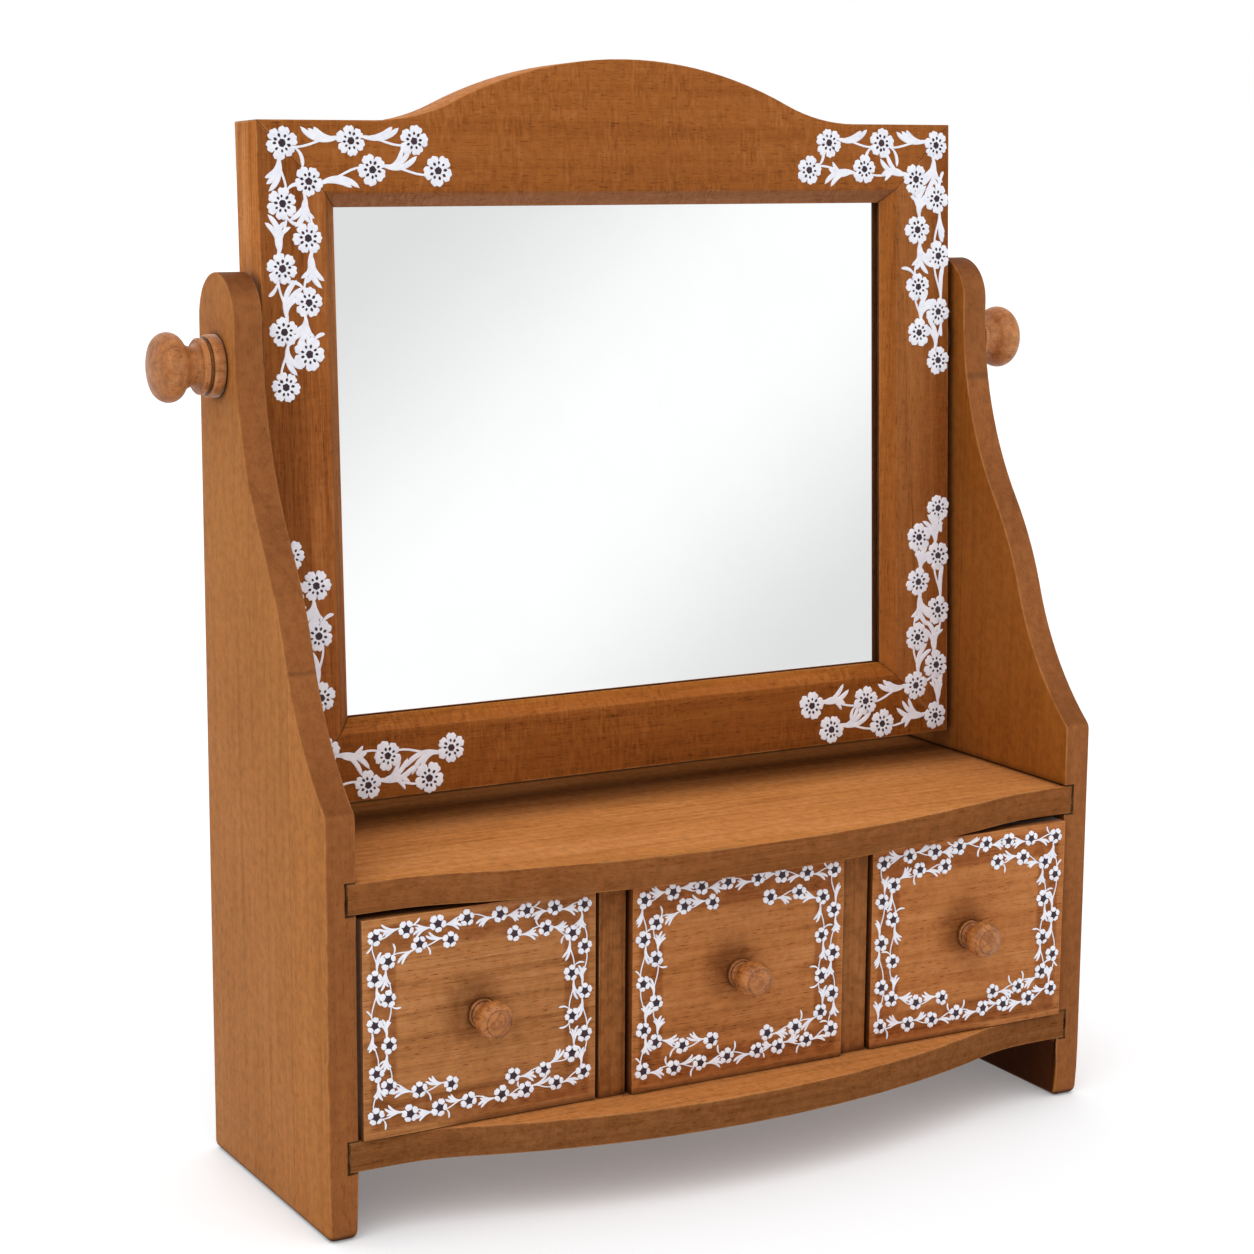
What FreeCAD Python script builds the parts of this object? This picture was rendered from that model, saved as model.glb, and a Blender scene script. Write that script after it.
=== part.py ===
import FreeCAD, Part
import math
import os
import Sketcher
from FreeCAD import Placement, Rotation, Vector

# Tabletop vanity mirror with three drawers. Millimetres. X runs to the right, Y to the back, Z up.
# The origin is on the table, in the middle of the case's width and depth.

SIZES = [
    ("case_width", 399.5, "over the outer faces of the side panels"),
    ("case_depth", 133.3, "side panels, back edge to front edge beside the drawers"),
    ("board_thickness", 13.5, "side panels, shelf, base and dividers"),
    ("base_top", 43.6, "table to the upper face of the base"),
    ("shelf_top", 156.6, "table to the upper face of the shelf"),
    ("housing_depth", 4.5, "housings in the side panels for shelf, base and back"),
    ("shelf_bow", 23.5, "how far the shelf's front bows out"),
    ("base_bow", 29.3, "how far the base's front bows out"),
    ("bow_end_flat", 16, "straight stretch at each end of a bowed front"),
    ("bow_foot_radius", 100, "hollow at each end of a bow"),
    ("divider_proud", 1.6, "dividers in front of the side panels' front edges"),
    ("back_panel_thickness", 3, "thin board behind the drawers"),
    ("pivot_height", 364.5, "table to the swing axis"),
    ("head_rise", 40.5, "swing axis to the top of the side panels"),
    ("head_width", 41, "round head of a side panel"),
    ("head_straight", 3, "straight front edge under the round head"),
    ("knee_height", 185.8, "table to the knee where the front edge starts to curve"),
    ("knee_round", 5, "rounding of the knee"),
    ("waist_inset", 41.2, "knee to waist, backwards"),
    ("waist_rise", 61.4, "knee to waist, upwards"),
    ("waist_angle", 18.6, "lean of the front edge at the waist"),
    ("toe_round", 4, "rounded lower front corner of a side panel"),
    ("side_gap", 3.4, "frame to side panel"),
    ("frame_head", 105.5, "swing axis to the straight top of the frame"),
    ("frame_shelf_gap", 10, "shelf to the frame's lower edge when upright"),
    ("frame_thickness", 25, "frame, front to back"),
    ("member_width", 37.6, "rails and stiles, outer edge to sight edge"),
    ("arch_rise", 28.6, "arch over the straight top"),
    ("arch_shoulder", 56, "straight top beside the arch"),
    ("arch_foot_radius", 90, "hollow at each end of the arch"),
    ("chamfer_width", 6.6, "sight edge chamfer, across the face"),
    ("chamfer_depth", 6, "sight edge chamfer, into the thickness"),
    ("sight_lip", 1.5, "wood between chamfer and glass"),
    ("rebate_width", 8, "rebate for glass and backing"),
    ("glass_gap", 0.5, "glass to the rebate's wall"),
    ("glass_thickness", 3, "mirror glass"),
    ("backing_thickness", 3, "board behind the glass"),
    ("framing_point_width", 10, "flat points that hold the backing"),
    ("framing_point_bite", 5, "length of a point inside the wood"),
    ("framing_point_thickness", 0.8, "flat points that hold the backing"),
    ("rest_tilt", 2.3, "lean of the mirror in the photographed pose, degrees"),
    ("stud_diameter", 6, "threaded stud of a pivot knob"),
    ("stud_hole_clearance", 0.1, "stud to the hole in the side panel, on the radius"),
    ("stud_thread_clearance", 0.05, "stud to the insert's bore, on the radius"),
    ("insert_diameter", 9, "threaded insert in a stile"),
    ("insert_length", 14, "threaded insert in a stile"),
    ("washer_diameter", 20, "spacer between stile and side panel"),
    ("washer_play", 0.2, "washer to side panel"),
    ("knob_play", 0.15, "pivot knob to side panel"),
    ("pivot_knob_diameter", 30.6, "turned knob outside a side panel"),
    ("drawer_knob_diameter", 17, "turned knob on a drawer"),
    ("drawer_side_gap", 1.7, "drawer to the board beside it"),
    ("drawer_lift", 0.3, "drawer to the base under it"),
    ("drawer_top_gap", 2.5, "drawer front to the shelf over it"),
    ("drawer_stop_gap", 0.3, "pushed-in drawer to the back panel"),
    ("drawer_closed_inset", 1, "pushed-in drawer front behind the dividers' front edges"),
    ("drawer_front_thickness", 10, "drawer front"),
    ("drawer_wall", 7, "drawer sides and back"),
    ("drawer_side_drop", 9, "drawer sides under the front's upper edge"),
    ("drawer_bottom_thickness", 3, "drawer bottom"),
    ("drawer_bottom_lift", 6, "drawer bottom over the front's lower edge"),
    ("drawer_groove_depth", 3, "groove for the drawer bottom"),
    ("drawer_bottom_gap", 0.2, "drawer bottom to the end of its groove"),
    ("left_drawer_ajar", 1, "drawer as photographed, out from pushed in"),
    ("middle_drawer_ajar", 4, "drawer as photographed, out from pushed in"),
    ("right_drawer_ajar", 2.5, "drawer as photographed, out from pushed in"),
    ("knob_screw_diameter", 3.5, "screw of a drawer knob"),
    ("pin_diameter", 1.4, "pins of the back panel"),
    ("pin_length", 14, "pins of the back panel"),
]

doc = FreeCAD.newDocument("VanityMirror")
sheet = doc.addObject("Spreadsheet::Sheet", "Sizes")
for row, (size, millimetres, meaning) in enumerate(SIZES, start=1):
    sheet.set(f"A{row}", size)
    sheet.set(f"B{row}", str(millimetres))
    sheet.set(f"C{row}", meaning)
    sheet.setAlias(f"B{row}", size)
doc.recompute()

# Sizes that follow from the named ones, as expressions on the sheet
BACK = "((Sizes.case_depth + Sizes.base_bow) / 2)"
INNER = "(Sizes.case_width - 2 * Sizes.board_thickness)"
BAY = f"(({INNER} - 2 * Sizes.board_thickness) / 3)"
BASE_BOTTOM = "(Sizes.base_top - Sizes.board_thickness)"
SHELF_BOTTOM = "(Sizes.shelf_top - Sizes.board_thickness)"
DIVIDER_FRONT = "(Sizes.case_depth + Sizes.divider_proud)"
HEAD_RADIUS = "(Sizes.head_width / 2)"
PANEL_TOP = "(Sizes.pivot_height + Sizes.head_rise)"
PIVOT_Y = f"({BACK} - {HEAD_RADIUS})"
FRAME_HALF = f"({INNER} / 2 - Sizes.side_gap)"
FRAME_DROP = "(Sizes.pivot_height - Sizes.shelf_top - Sizes.frame_shelf_gap)"
GLASS_FRONT = "(Sizes.chamfer_depth + Sizes.sight_lip - Sizes.frame_thickness / 2)"
SIGHT_HALF = f"({FRAME_HALF} - Sizes.member_width)"
SIGHT_TOP = "(Sizes.frame_head - Sizes.member_width)"
SIGHT_DROP = f"({FRAME_DROP} - Sizes.member_width)"
PIVOT_KNOB = "(Sizes.pivot_knob_diameter / 2)"
DRAWER_KNOB = "(Sizes.drawer_knob_diameter / 2)"
DRAWER_WIDTH = f"({BAY} - 2 * Sizes.drawer_side_gap)"
DRAWER_FOOT = "(Sizes.base_top + Sizes.drawer_lift)"
DRAWER_HEIGHT = f"({SHELF_BOTTOM} - Sizes.drawer_top_gap - {DRAWER_FOOT})"
DRAWER_LENGTH = (f"({DIVIDER_FRONT} - Sizes.drawer_closed_inset - Sizes.back_panel_thickness"
                 " - Sizes.drawer_stop_gap)")

nodes = []


def number(expression):
    return float(sheet.evalExpression(expression))


def bind(item, **expressions):
    """Tie properties of a document object to the sheet; x, y and z stand for its position."""
    for name, expression in expressions.items():
        target = f"Placement.Base.{name}" if name in ("x", "y", "z") else name
        item.setExpression(target, expression)
    return item


def node(item, name):
    item.Label = name
    nodes.append(item)
    return item


def sketch(body, role, name, offset=None):
    plane = next(feature for feature in body.Origin.OriginFeatures if feature.Role == role)
    drawing = body.newObject("Sketcher::SketchObject", f"{body.Name}_{name}")
    drawing.AttachmentSupport = [(plane, "")]
    drawing.MapMode = "FlatFace"
    if offset:
        drawing.setExpression("AttachmentOffset.Base.z", offset)
    return drawing


def dimension(drawing, kind, axis, geometry, end, expression):
    length = number(expression)
    if abs(length) < 1e-9:
        drawing.addConstraint(Sketcher.Constraint("PointOnObject", geometry, end, axis))
        return
    index = drawing.addConstraint(Sketcher.Constraint(kind, -1, 1, geometry, end, length))
    drawing.setExpression(f"Constraints[{index}]", expression)


def outline(drawing, corners, arcs=None):
    """Closed outline through corners given as expressions. arcs gives, for the side that starts at a
    corner, its radius and which way it turns: 1 to the left, -1 to the right. A third entry, True,
    holds the arc's centre on the vertical axis, so that a turned end is part of a ball."""
    arcs = arcs or {}
    points = [Vector(number(x), number(y), 0) for x, y in corners]
    sides = []
    for place, start in enumerate(points):
        finish = points[(place + 1) % len(points)]
        if place not in arcs:
            sides.append((drawing.addGeometry(Part.LineSegment(start, finish), False), 1, 2))
            continue
        radius = number(arcs[place][0])
        turn = arcs[place][1]
        chord = finish - start
        across = Vector(-chord.y, chord.x, 0).normalize() * turn
        centre = (start + finish) / 2 + across * math.sqrt(max(radius ** 2 - chord.Length ** 2 / 4, 0))
        first, last = (start, finish) if turn > 0 else (finish, start)
        angles = [math.atan2(end.y - centre.y, end.x - centre.x) for end in (first, last)]
        curve = Part.ArcOfCircle(Part.Circle(centre, Vector(0, 0, 1), radius), *angles)
        index = drawing.addGeometry(curve, False)
        sides.append((index, 1, 2) if turn > 0 else (index, 2, 1))
    for place, (index, start, finish) in enumerate(sides):
        following, following_start, _ = sides[(place + 1) % len(sides)]
        drawing.addConstraint(Sketcher.Constraint("Coincident", index, finish, following, following_start))
    for (index, start, finish), (x, y) in zip(sides, corners):
        dimension(drawing, "DistanceX", -2, index, start, x)
        dimension(drawing, "DistanceY", -1, index, start, y)
    for place, (radius, turn, *on_axis) in arcs.items():
        index = sides[place][0]
        if on_axis:
            drawing.addConstraint(Sketcher.Constraint("PointOnObject", index, 3, -2))
            continue
        rule = drawing.addConstraint(Sketcher.Constraint("Radius", index, number(radius)))
        drawing.setExpression(f"Constraints[{rule}]", radius)


def circle(drawing, x, y, diameter):
    centre = Vector(number(x), number(y), 0)
    ring = Part.Circle(centre, Vector(0, 0, 1), number(diameter) / 2)
    index = drawing.addGeometry(ring, False)
    rule = drawing.addConstraint(Sketcher.Constraint("Diameter", index, number(diameter)))
    drawing.setExpression(f"Constraints[{rule}]", diameter)
    dimension(drawing, "DistanceX", -2, index, 3, x)
    dimension(drawing, "DistanceY", -1, index, 3, y)


def rectangle(drawing, left, low, right, high):
    outline(drawing, [(left, low), (right, low), (right, high), (left, high)])


def pad(drawing, length, symmetric=False, reverse=False):
    body = drawing.getParentGeoFeatureGroup()
    feature = body.newObject("PartDesign::Pad", f"{drawing.Name}_pad")
    feature.Profile = drawing
    feature.setExpression("Length", length)
    feature.SideType = "Symmetric" if symmetric else "One side"
    feature.Reversed = reverse
    return feature


def pocket(drawing, length=None, symmetric=False, reverse=False):
    body = drawing.getParentGeoFeatureGroup()
    feature = body.newObject("PartDesign::Pocket", f"{drawing.Name}_pocket")
    feature.Profile = drawing
    feature.Type = "Length" if length else "ThroughAll"
    if length:
        feature.setExpression("Length", length)
    feature.SideType = "Symmetric" if symmetric else "One side"
    feature.Reversed = reverse
    return feature


def board(name, x, y, z, length, width, height):
    box = doc.addObject("Part::Box", name)
    return bind(box, x=x, y=y, z=z, Length=length, Width=width, Height=height)


def rod(name, axis, turn, x, y, z, diameter, length):
    """Round bar from (x, y, z), its own Z axis turned by an angle about an axis."""
    bar = doc.addObject("Part::Cylinder", name)
    bar.Placement = Placement(Vector(0, 0, 0), Rotation(axis, turn))
    return bind(bar, x=x, y=y, z=z, Radius=f"({diameter}) / 2", Height=length)


def cut(base, *tools):
    result = base
    for place, tool in enumerate(tools, start=1):
        step = doc.addObject("Part::Cut", f"{base.Name}_less_{place}")
        step.Base = result
        step.Tool = tool
        result = step
    return result


def on_mirror(item):
    """Place a piece that is drawn about the swing axis, leaning back as photographed."""
    item.Placement = Placement(Vector(0, 0, 0), Rotation(Vector(-1, 0, 0), 1))
    bind(item, y=PIVOT_Y, z="Sizes.pivot_height")
    item.setExpression("Placement.Rotation.Angle", "Sizes.rest_tilt")
    return item


def crown(half_span, rise, foot_radius):
    """A swelling between two straight stretches: hollow foot, round crown, hollow foot, all tangent.
    Gives the crown's radius and the point where foot and crown meet."""
    both = f"(({half_span} ^ 2 + {rise} ^ 2) / (2 * {rise}))"
    radius = f"({both} - {foot_radius})"
    return radius, f"({half_span} * {radius} / {both})", f"({rise} * {foot_radius} / {both})"


# Side panels: drawn from the back edge, forward is negative
WAIST_Y = "(Sizes.case_depth - Sizes.waist_inset)"
WAIST_Z = "(Sizes.knee_height + Sizes.waist_rise)"
OGEE_TOP = f"({PANEL_TOP} - {HEAD_RADIUS} - Sizes.head_straight)"
OGEE_RUN = f"({WAIST_Y} - Sizes.head_width)"
OGEE_RISE = f"({OGEE_TOP} - {WAIST_Z})"
OGEE_SPAN = f"({OGEE_RUN} ^ 2 + {OGEE_RISE} ^ 2)"
OGEE_TERM = f"({OGEE_RUN} * (1 + cos(Sizes.waist_angle)) - {OGEE_RISE} * sin(Sizes.waist_angle))"
OGEE_RADIUS = (f"({OGEE_SPAN} / ({OGEE_TERM} + sqrt({OGEE_TERM} ^ 2"
               f" + {OGEE_SPAN} * (2 - 2 * cos(Sizes.waist_angle)))))")
OGEE_TURN_Y = (f"(Sizes.head_width + ({OGEE_RUN}"
               f" + {OGEE_RADIUS} * (1 - cos(Sizes.waist_angle))) / 2)")
OGEE_TURN_Z = f"({OGEE_TOP} - ({OGEE_RISE} + {OGEE_RADIUS} * sin(Sizes.waist_angle)) / 2)"
HOLLOW_RADIUS = ("((Sizes.waist_inset ^ 2 + Sizes.waist_rise ^ 2) / (2 * (Sizes.waist_inset"
                 " * cos(Sizes.waist_angle) - Sizes.waist_rise * sin(Sizes.waist_angle))))")


def side_panel(name, left):
    body = node(doc.addObject("PartDesign::Body", name), name)
    half = "Sizes.case_width / 2"
    bind(body, x=f"-{half}" if left else f"{half} - Sizes.board_thickness", y=BACK)
    face = sketch(body, "YZ_Plane", "face")
    outline(face, [
        ("0", "0"),
        ("Sizes.toe_round - Sizes.case_depth", "0"),
        ("-Sizes.case_depth", "Sizes.toe_round"),
        ("-Sizes.case_depth", "Sizes.knee_height"),
        (f"-{WAIST_Y}", WAIST_Z),
        (f"-{OGEE_TURN_Y}", OGEE_TURN_Z),
        ("-Sizes.head_width", OGEE_TOP),
        ("-Sizes.head_width", f"{PANEL_TOP} - {HEAD_RADIUS}"),
        (f"-{HEAD_RADIUS}", PANEL_TOP),
        ("0", f"{PANEL_TOP} - {HEAD_RADIUS}"),
    ], {
        1: ("Sizes.toe_round", -1),
        3: (HOLLOW_RADIUS, 1),
        4: (OGEE_RADIUS, -1),
        5: (OGEE_RADIUS, 1),
        7: (HEAD_RADIUS, -1),
        8: (HEAD_RADIUS, -1),
    })
    blank = pad(face, "Sizes.board_thickness")
    doc.recompute()
    knee = (-number("Sizes.case_depth"), number("Sizes.knee_height"))
    knee_edges = [
        f"Edge{place}" for place, edge in enumerate(blank.Shape.Edges, start=1)
        if all(math.hypot(end.Y - knee[0], end.Z - knee[1]) < 0.01 for end in edge.Vertexes)
    ]
    rounding = body.newObject("PartDesign::Fillet", f"{name}_knee")
    rounding.Base = (blank, knee_edges)
    rounding.setExpression("Radius", "Sizes.knee_round")

    # One stepped housing takes the base, the shelf and the back panel's edge
    inner_face = sketch(body, "YZ_Plane", "housing", "Sizes.board_thickness" if left else None)
    past_front = "-Sizes.case_depth - 1"
    outline(inner_face, [
        ("0", BASE_BOTTOM),
        ("0", "Sizes.shelf_top"),
        (past_front, "Sizes.shelf_top"),
        (past_front, SHELF_BOTTOM),
        ("-Sizes.back_panel_thickness", SHELF_BOTTOM),
        ("-Sizes.back_panel_thickness", "Sizes.base_top"),
        (past_front, "Sizes.base_top"),
        (past_front, BASE_BOTTOM),
    ])
    pocket(inner_face, "Sizes.housing_depth", reverse=not left)
    hole = sketch(body, "YZ_Plane", "pivot", "Sizes.board_thickness")
    circle(hole, f"-{HEAD_RADIUS}", "Sizes.pivot_height",
           "Sizes.stud_diameter + 2 * Sizes.stud_hole_clearance")
    pocket(hole)


side_panel("left_side_panel", True)
side_panel("right_side_panel", False)

# Shelf and base: boards with a bowed front, housed in the side panels
HOUSED_HALF = f"({INNER} / 2 + Sizes.housing_depth)"
BOW_HALF = f"({INNER} / 2 - Sizes.bow_end_flat)"


def bowed_board(name, bow, height):
    body = node(doc.addObject("PartDesign::Body", name), name)
    bind(body, y=BACK, z=height)
    radius, meet_x, meet_y = crown(BOW_HALF, bow, "Sizes.bow_foot_radius")
    plan = sketch(body, "XY_Plane", "plan")
    outline(plan, [
        (f"-{HOUSED_HALF}", "-Sizes.back_panel_thickness"),
        (f"-{HOUSED_HALF}", "-Sizes.case_depth"),
        (f"-{BOW_HALF}", "-Sizes.case_depth"),
        (f"-{meet_x}", f"-Sizes.case_depth - {meet_y}"),
        (meet_x, f"-Sizes.case_depth - {meet_y}"),
        (BOW_HALF, "-Sizes.case_depth"),
        (HOUSED_HALF, "-Sizes.case_depth"),
        (HOUSED_HALF, "-Sizes.back_panel_thickness"),
    ], {
        2: ("Sizes.bow_foot_radius", -1),
        3: (radius, 1),
        4: ("Sizes.bow_foot_radius", -1),
    })
    pad(plan, "Sizes.board_thickness")


bowed_board("shelf_board", "Sizes.shelf_bow", SHELF_BOTTOM)
bowed_board("base_board", "Sizes.base_bow", BASE_BOTTOM)

# Dividers and back of the drawer case
for name, x in (("left_divider", f"-{BAY} / 2 - Sizes.board_thickness"), ("right_divider", f"{BAY} / 2")):
    upright = board(name, x, f"{BACK} - {DIVIDER_FRONT}", "Sizes.base_top", "Sizes.board_thickness",
                    f"{DIVIDER_FRONT} - Sizes.back_panel_thickness", f"{SHELF_BOTTOM} - Sizes.base_top")
    node(upright, name)

node(board("back_panel", f"-{HOUSED_HALF}", f"{BACK} - Sizes.back_panel_thickness", BASE_BOTTOM,
           f"2 * {HOUSED_HALF}", "Sizes.back_panel_thickness", f"Sizes.shelf_top - {BASE_BOTTOM}"),
     "back_panel")

pins = []
for row, height in (("low", f"Sizes.base_top - Sizes.board_thickness / 2"),
                    ("high", f"Sizes.shelf_top - Sizes.board_thickness / 2")):
    for place, share in enumerate((-0.42, -0.15, 0.15, 0.42), start=1):
        shank = rod(f"pin_{row}_{place}_shank", Vector(1, 0, 0), 90, f"{share} * {INNER}", BACK, height,
                    "Sizes.pin_diameter", "Sizes.pin_length")
        head = rod(f"pin_{row}_{place}_head", Vector(1, 0, 0), 90, f"{share} * {INNER}", BACK, height,
                   "2.4 * Sizes.pin_diameter", "0.6 * Sizes.pin_diameter")
        pin = doc.addObject("Part::Fuse", f"pin_{row}_{place}")
        pin.Base = shank
        pin.Tool = head
        pins.append(pin)
pin_group = node(doc.addObject("Part::Compound", "back_panel_pins"), "back_panel_pins")
pin_group.Links = pins

# Mirror frame: four mitred members, drawn about the swing axis
ARCH_HALF = f"({FRAME_HALF} - Sizes.arch_shoulder)"
FACE = "(-Sizes.frame_thickness / 2)"
HIND = "(Sizes.frame_thickness / 2)"


def frame_member(name, corners, arcs, upright, sight, outward):
    """A mitred member. sight is the position of its sight edge and outward the side its wood is on."""
    body = on_mirror(node(doc.addObject("PartDesign::Body", name), name))
    front = sketch(body, "XZ_Plane", "front")
    outline(front, corners, arcs)
    pad(front, "Sizes.frame_thickness", symmetric=True)
    section = sketch(body, "XY_Plane" if upright else "YZ_Plane", "section")
    chamfer = [(sight, FACE), (f"{sight} + {outward} * Sizes.chamfer_width", FACE),
               (sight, f"{FACE} + Sizes.chamfer_depth")]
    wall = f"{sight} + {outward} * Sizes.rebate_width"
    rebate = [(sight, GLASS_FRONT), (wall, GLASS_FRONT), (wall, HIND), (sight, HIND)]
    for edge in (chamfer, rebate):
        outline(section, edge if upright else [(deep, along) for along, deep in edge])
    pocket(section, f"2 * {FRAME_HALF} + 2 * {FRAME_DROP}", symmetric=True)
    return body


arch_radius, arch_meet_x, arch_meet_z = crown(ARCH_HALF, "Sizes.arch_rise", "Sizes.arch_foot_radius")
OUTER = {"left": f"-{FRAME_HALF}", "right": FRAME_HALF}
SIGHT = {"left": f"-{SIGHT_HALF}", "right": SIGHT_HALF}
TOP = "Sizes.frame_head"
LOW = f"-{FRAME_DROP}"
frame_member("frame_top_rail", [
    (SIGHT["left"], SIGHT_TOP),
    (SIGHT["right"], SIGHT_TOP),
    (OUTER["right"], TOP),
    (ARCH_HALF, TOP),
    (arch_meet_x, f"{TOP} + {arch_meet_z}"),
    (f"-{arch_meet_x}", f"{TOP} + {arch_meet_z}"),
    (f"-{ARCH_HALF}", TOP),
    (OUTER["left"], TOP),
], {
    3: ("Sizes.arch_foot_radius", -1),
    4: (arch_radius, 1),
    5: ("Sizes.arch_foot_radius", -1),
}, False, SIGHT_TOP, 1)
frame_member("frame_bottom_rail", [
    (OUTER["left"], LOW),
    (OUTER["right"], LOW),
    (SIGHT["right"], f"-{SIGHT_DROP}"),
    (SIGHT["left"], f"-{SIGHT_DROP}"),
], None, False, f"-{SIGHT_DROP}", -1)
stiles = {}
for side, outward in (("left", -1), ("right", 1)):
    stiles[side] = frame_member(f"frame_{side}_stile", [
        (OUTER[side], TOP),
        (OUTER[side], LOW),
        (SIGHT[side], f"-{SIGHT_DROP}"),
        (SIGHT[side], SIGHT_TOP),
    ], None, True, SIGHT[side], outward)
    mortise = sketch(stiles[side], "YZ_Plane", "insert", OUTER[side])
    circle(mortise, "0", "0", "Sizes.insert_diameter")
    pocket(mortise, "Sizes.insert_length", reverse=side == "left")

# Glass and backing in the rebate, held by flat points
PANE_HALF = f"({SIGHT_HALF} + Sizes.rebate_width - Sizes.glass_gap)"
PANE_TOP = f"({SIGHT_TOP} + Sizes.rebate_width - Sizes.glass_gap)"
PANE_LOW = f"(-{SIGHT_DROP} - Sizes.rebate_width + Sizes.glass_gap)"


def pane(name, front, thickness):
    body = on_mirror(node(doc.addObject("PartDesign::Body", name), name))
    sheet_outline = sketch(body, "XZ_Plane", "outline", f"-{front}")
    rectangle(sheet_outline, f"-{PANE_HALF}", PANE_LOW, PANE_HALF, PANE_TOP)
    pad(sheet_outline, thickness, reverse=True)


BACKING_FRONT = f"({GLASS_FRONT} + Sizes.glass_thickness)"
POINT_FRONT = f"({BACKING_FRONT} + Sizes.backing_thickness)"
pane("mirror_glass", GLASS_FRONT, "Sizes.glass_thickness")
pane("mirror_backing_board", BACKING_FRONT, "Sizes.backing_thickness")

POINT_LENGTH = "(2 * Sizes.framing_point_bite)"
WALL_HALF = f"({SIGHT_HALF} + Sizes.rebate_width)"
WALL_TOP = f"({SIGHT_TOP} + Sizes.rebate_width)"
WALL_LOW = f"(-{SIGHT_DROP} - Sizes.rebate_width)"
MIDDLE = f"(({WALL_TOP} + {WALL_LOW}) / 2)"
points = []
for place, share in (("first", -0.5), ("second", 0.5)):
    across = f"{share} * {SIGHT_HALF} - Sizes.framing_point_width / 2"
    along = f"{MIDDLE} + {share} * ({WALL_TOP} - {WALL_LOW}) / 2 - Sizes.framing_point_width / 2"
    inner = "Sizes.framing_point_bite"
    for wall, x, z, upright in (
            ("top", across, f"{WALL_TOP} - {inner}", True),
            ("low", across, f"{WALL_LOW} - {inner}", True),
            ("left", f"-{WALL_HALF} - {inner}", along, False),
            ("right", f"{WALL_HALF} - {inner}", along, False)):
        points.append(board(
            f"point_{wall}_{place}", x, POINT_FRONT, z,
            "Sizes.framing_point_width" if upright else POINT_LENGTH, "Sizes.framing_point_thickness",
            POINT_LENGTH if upright else "Sizes.framing_point_width"))
point_group = on_mirror(node(doc.addObject("Part::Compound", "backing_points"), "backing_points"))
point_group.Links = points

# Turned knobs: foot on the board, neck, and a flattened ball, all in proportion to the radius
def turned_knob(body, radius, foot, ball, bore, bore_depth):
    """foot is the profile up to the neck; ball holds the rim's radius, the rim centre's distance from
    the tip, the length, the neck's radius and the angle where neck and rim meet."""
    rim, tip, length, neck, angle = ball
    rim_r = f"({radius} * {1 - rim:g})"
    rim_z = f"({radius} * {length - tip:g})"
    dome = ((1 - rim) ** 2 + tip ** 2 - rim ** 2) / (2 * (tip - rim))
    share = rim / (dome - rim)
    under = math.radians(angle)
    fillet = (1 - rim + rim * math.cos(under) - neck) / (1 - math.cos(under))
    neck_z = length - tip - (rim + fillet) * math.sin(under)
    last_r, last_z = foot[-1]
    drop = last_r - neck
    cove = (drop ** 2 + (neck_z - last_z) ** 2) / (2 * drop)
    first = len(foot)
    corners = [(f"{bore} / 2", "0")]
    corners += [(f"{radius} * {r:g}", f"{radius} * {z:g}") for r, z in foot]
    corners += [
        (f"{radius} * {neck:g}", f"{radius} * {neck_z:.5f}"),
        (f"{rim_r} + {radius} * {rim * math.cos(under):.5f}",
         f"{rim_z} - {radius} * {rim * math.sin(under):.5f}"),
        (f"{rim_r} + {radius} * {(1 - rim) * share:.5f}",
         f"{rim_z} + {radius} * {(dome - tip) * share:.5f}"),
        ("0", f"{radius} * {length:g}"),
        ("0", bore_depth),
        (f"{bore} / 2", bore_depth),
    ]
    arcs = {
        first: (f"{radius} * {cove:.5f}", -1),
        first + 1: (f"{radius} * {fillet:.5f}", -1),
        first + 2: (f"{radius} * {rim:g}", 1),
        first + 3: (f"{radius} * {dome:.5f}", 1, True),
    }
    profile = sketch(body, "XZ_Plane", "profile")
    outline(profile, corners, arcs)
    turning = body.newObject("PartDesign::Revolution", f"{body.Name}_turning")
    turning.Profile = profile
    turning.ReferenceAxis = (profile, ["V_Axis"])
    turning.Angle = 360


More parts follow.
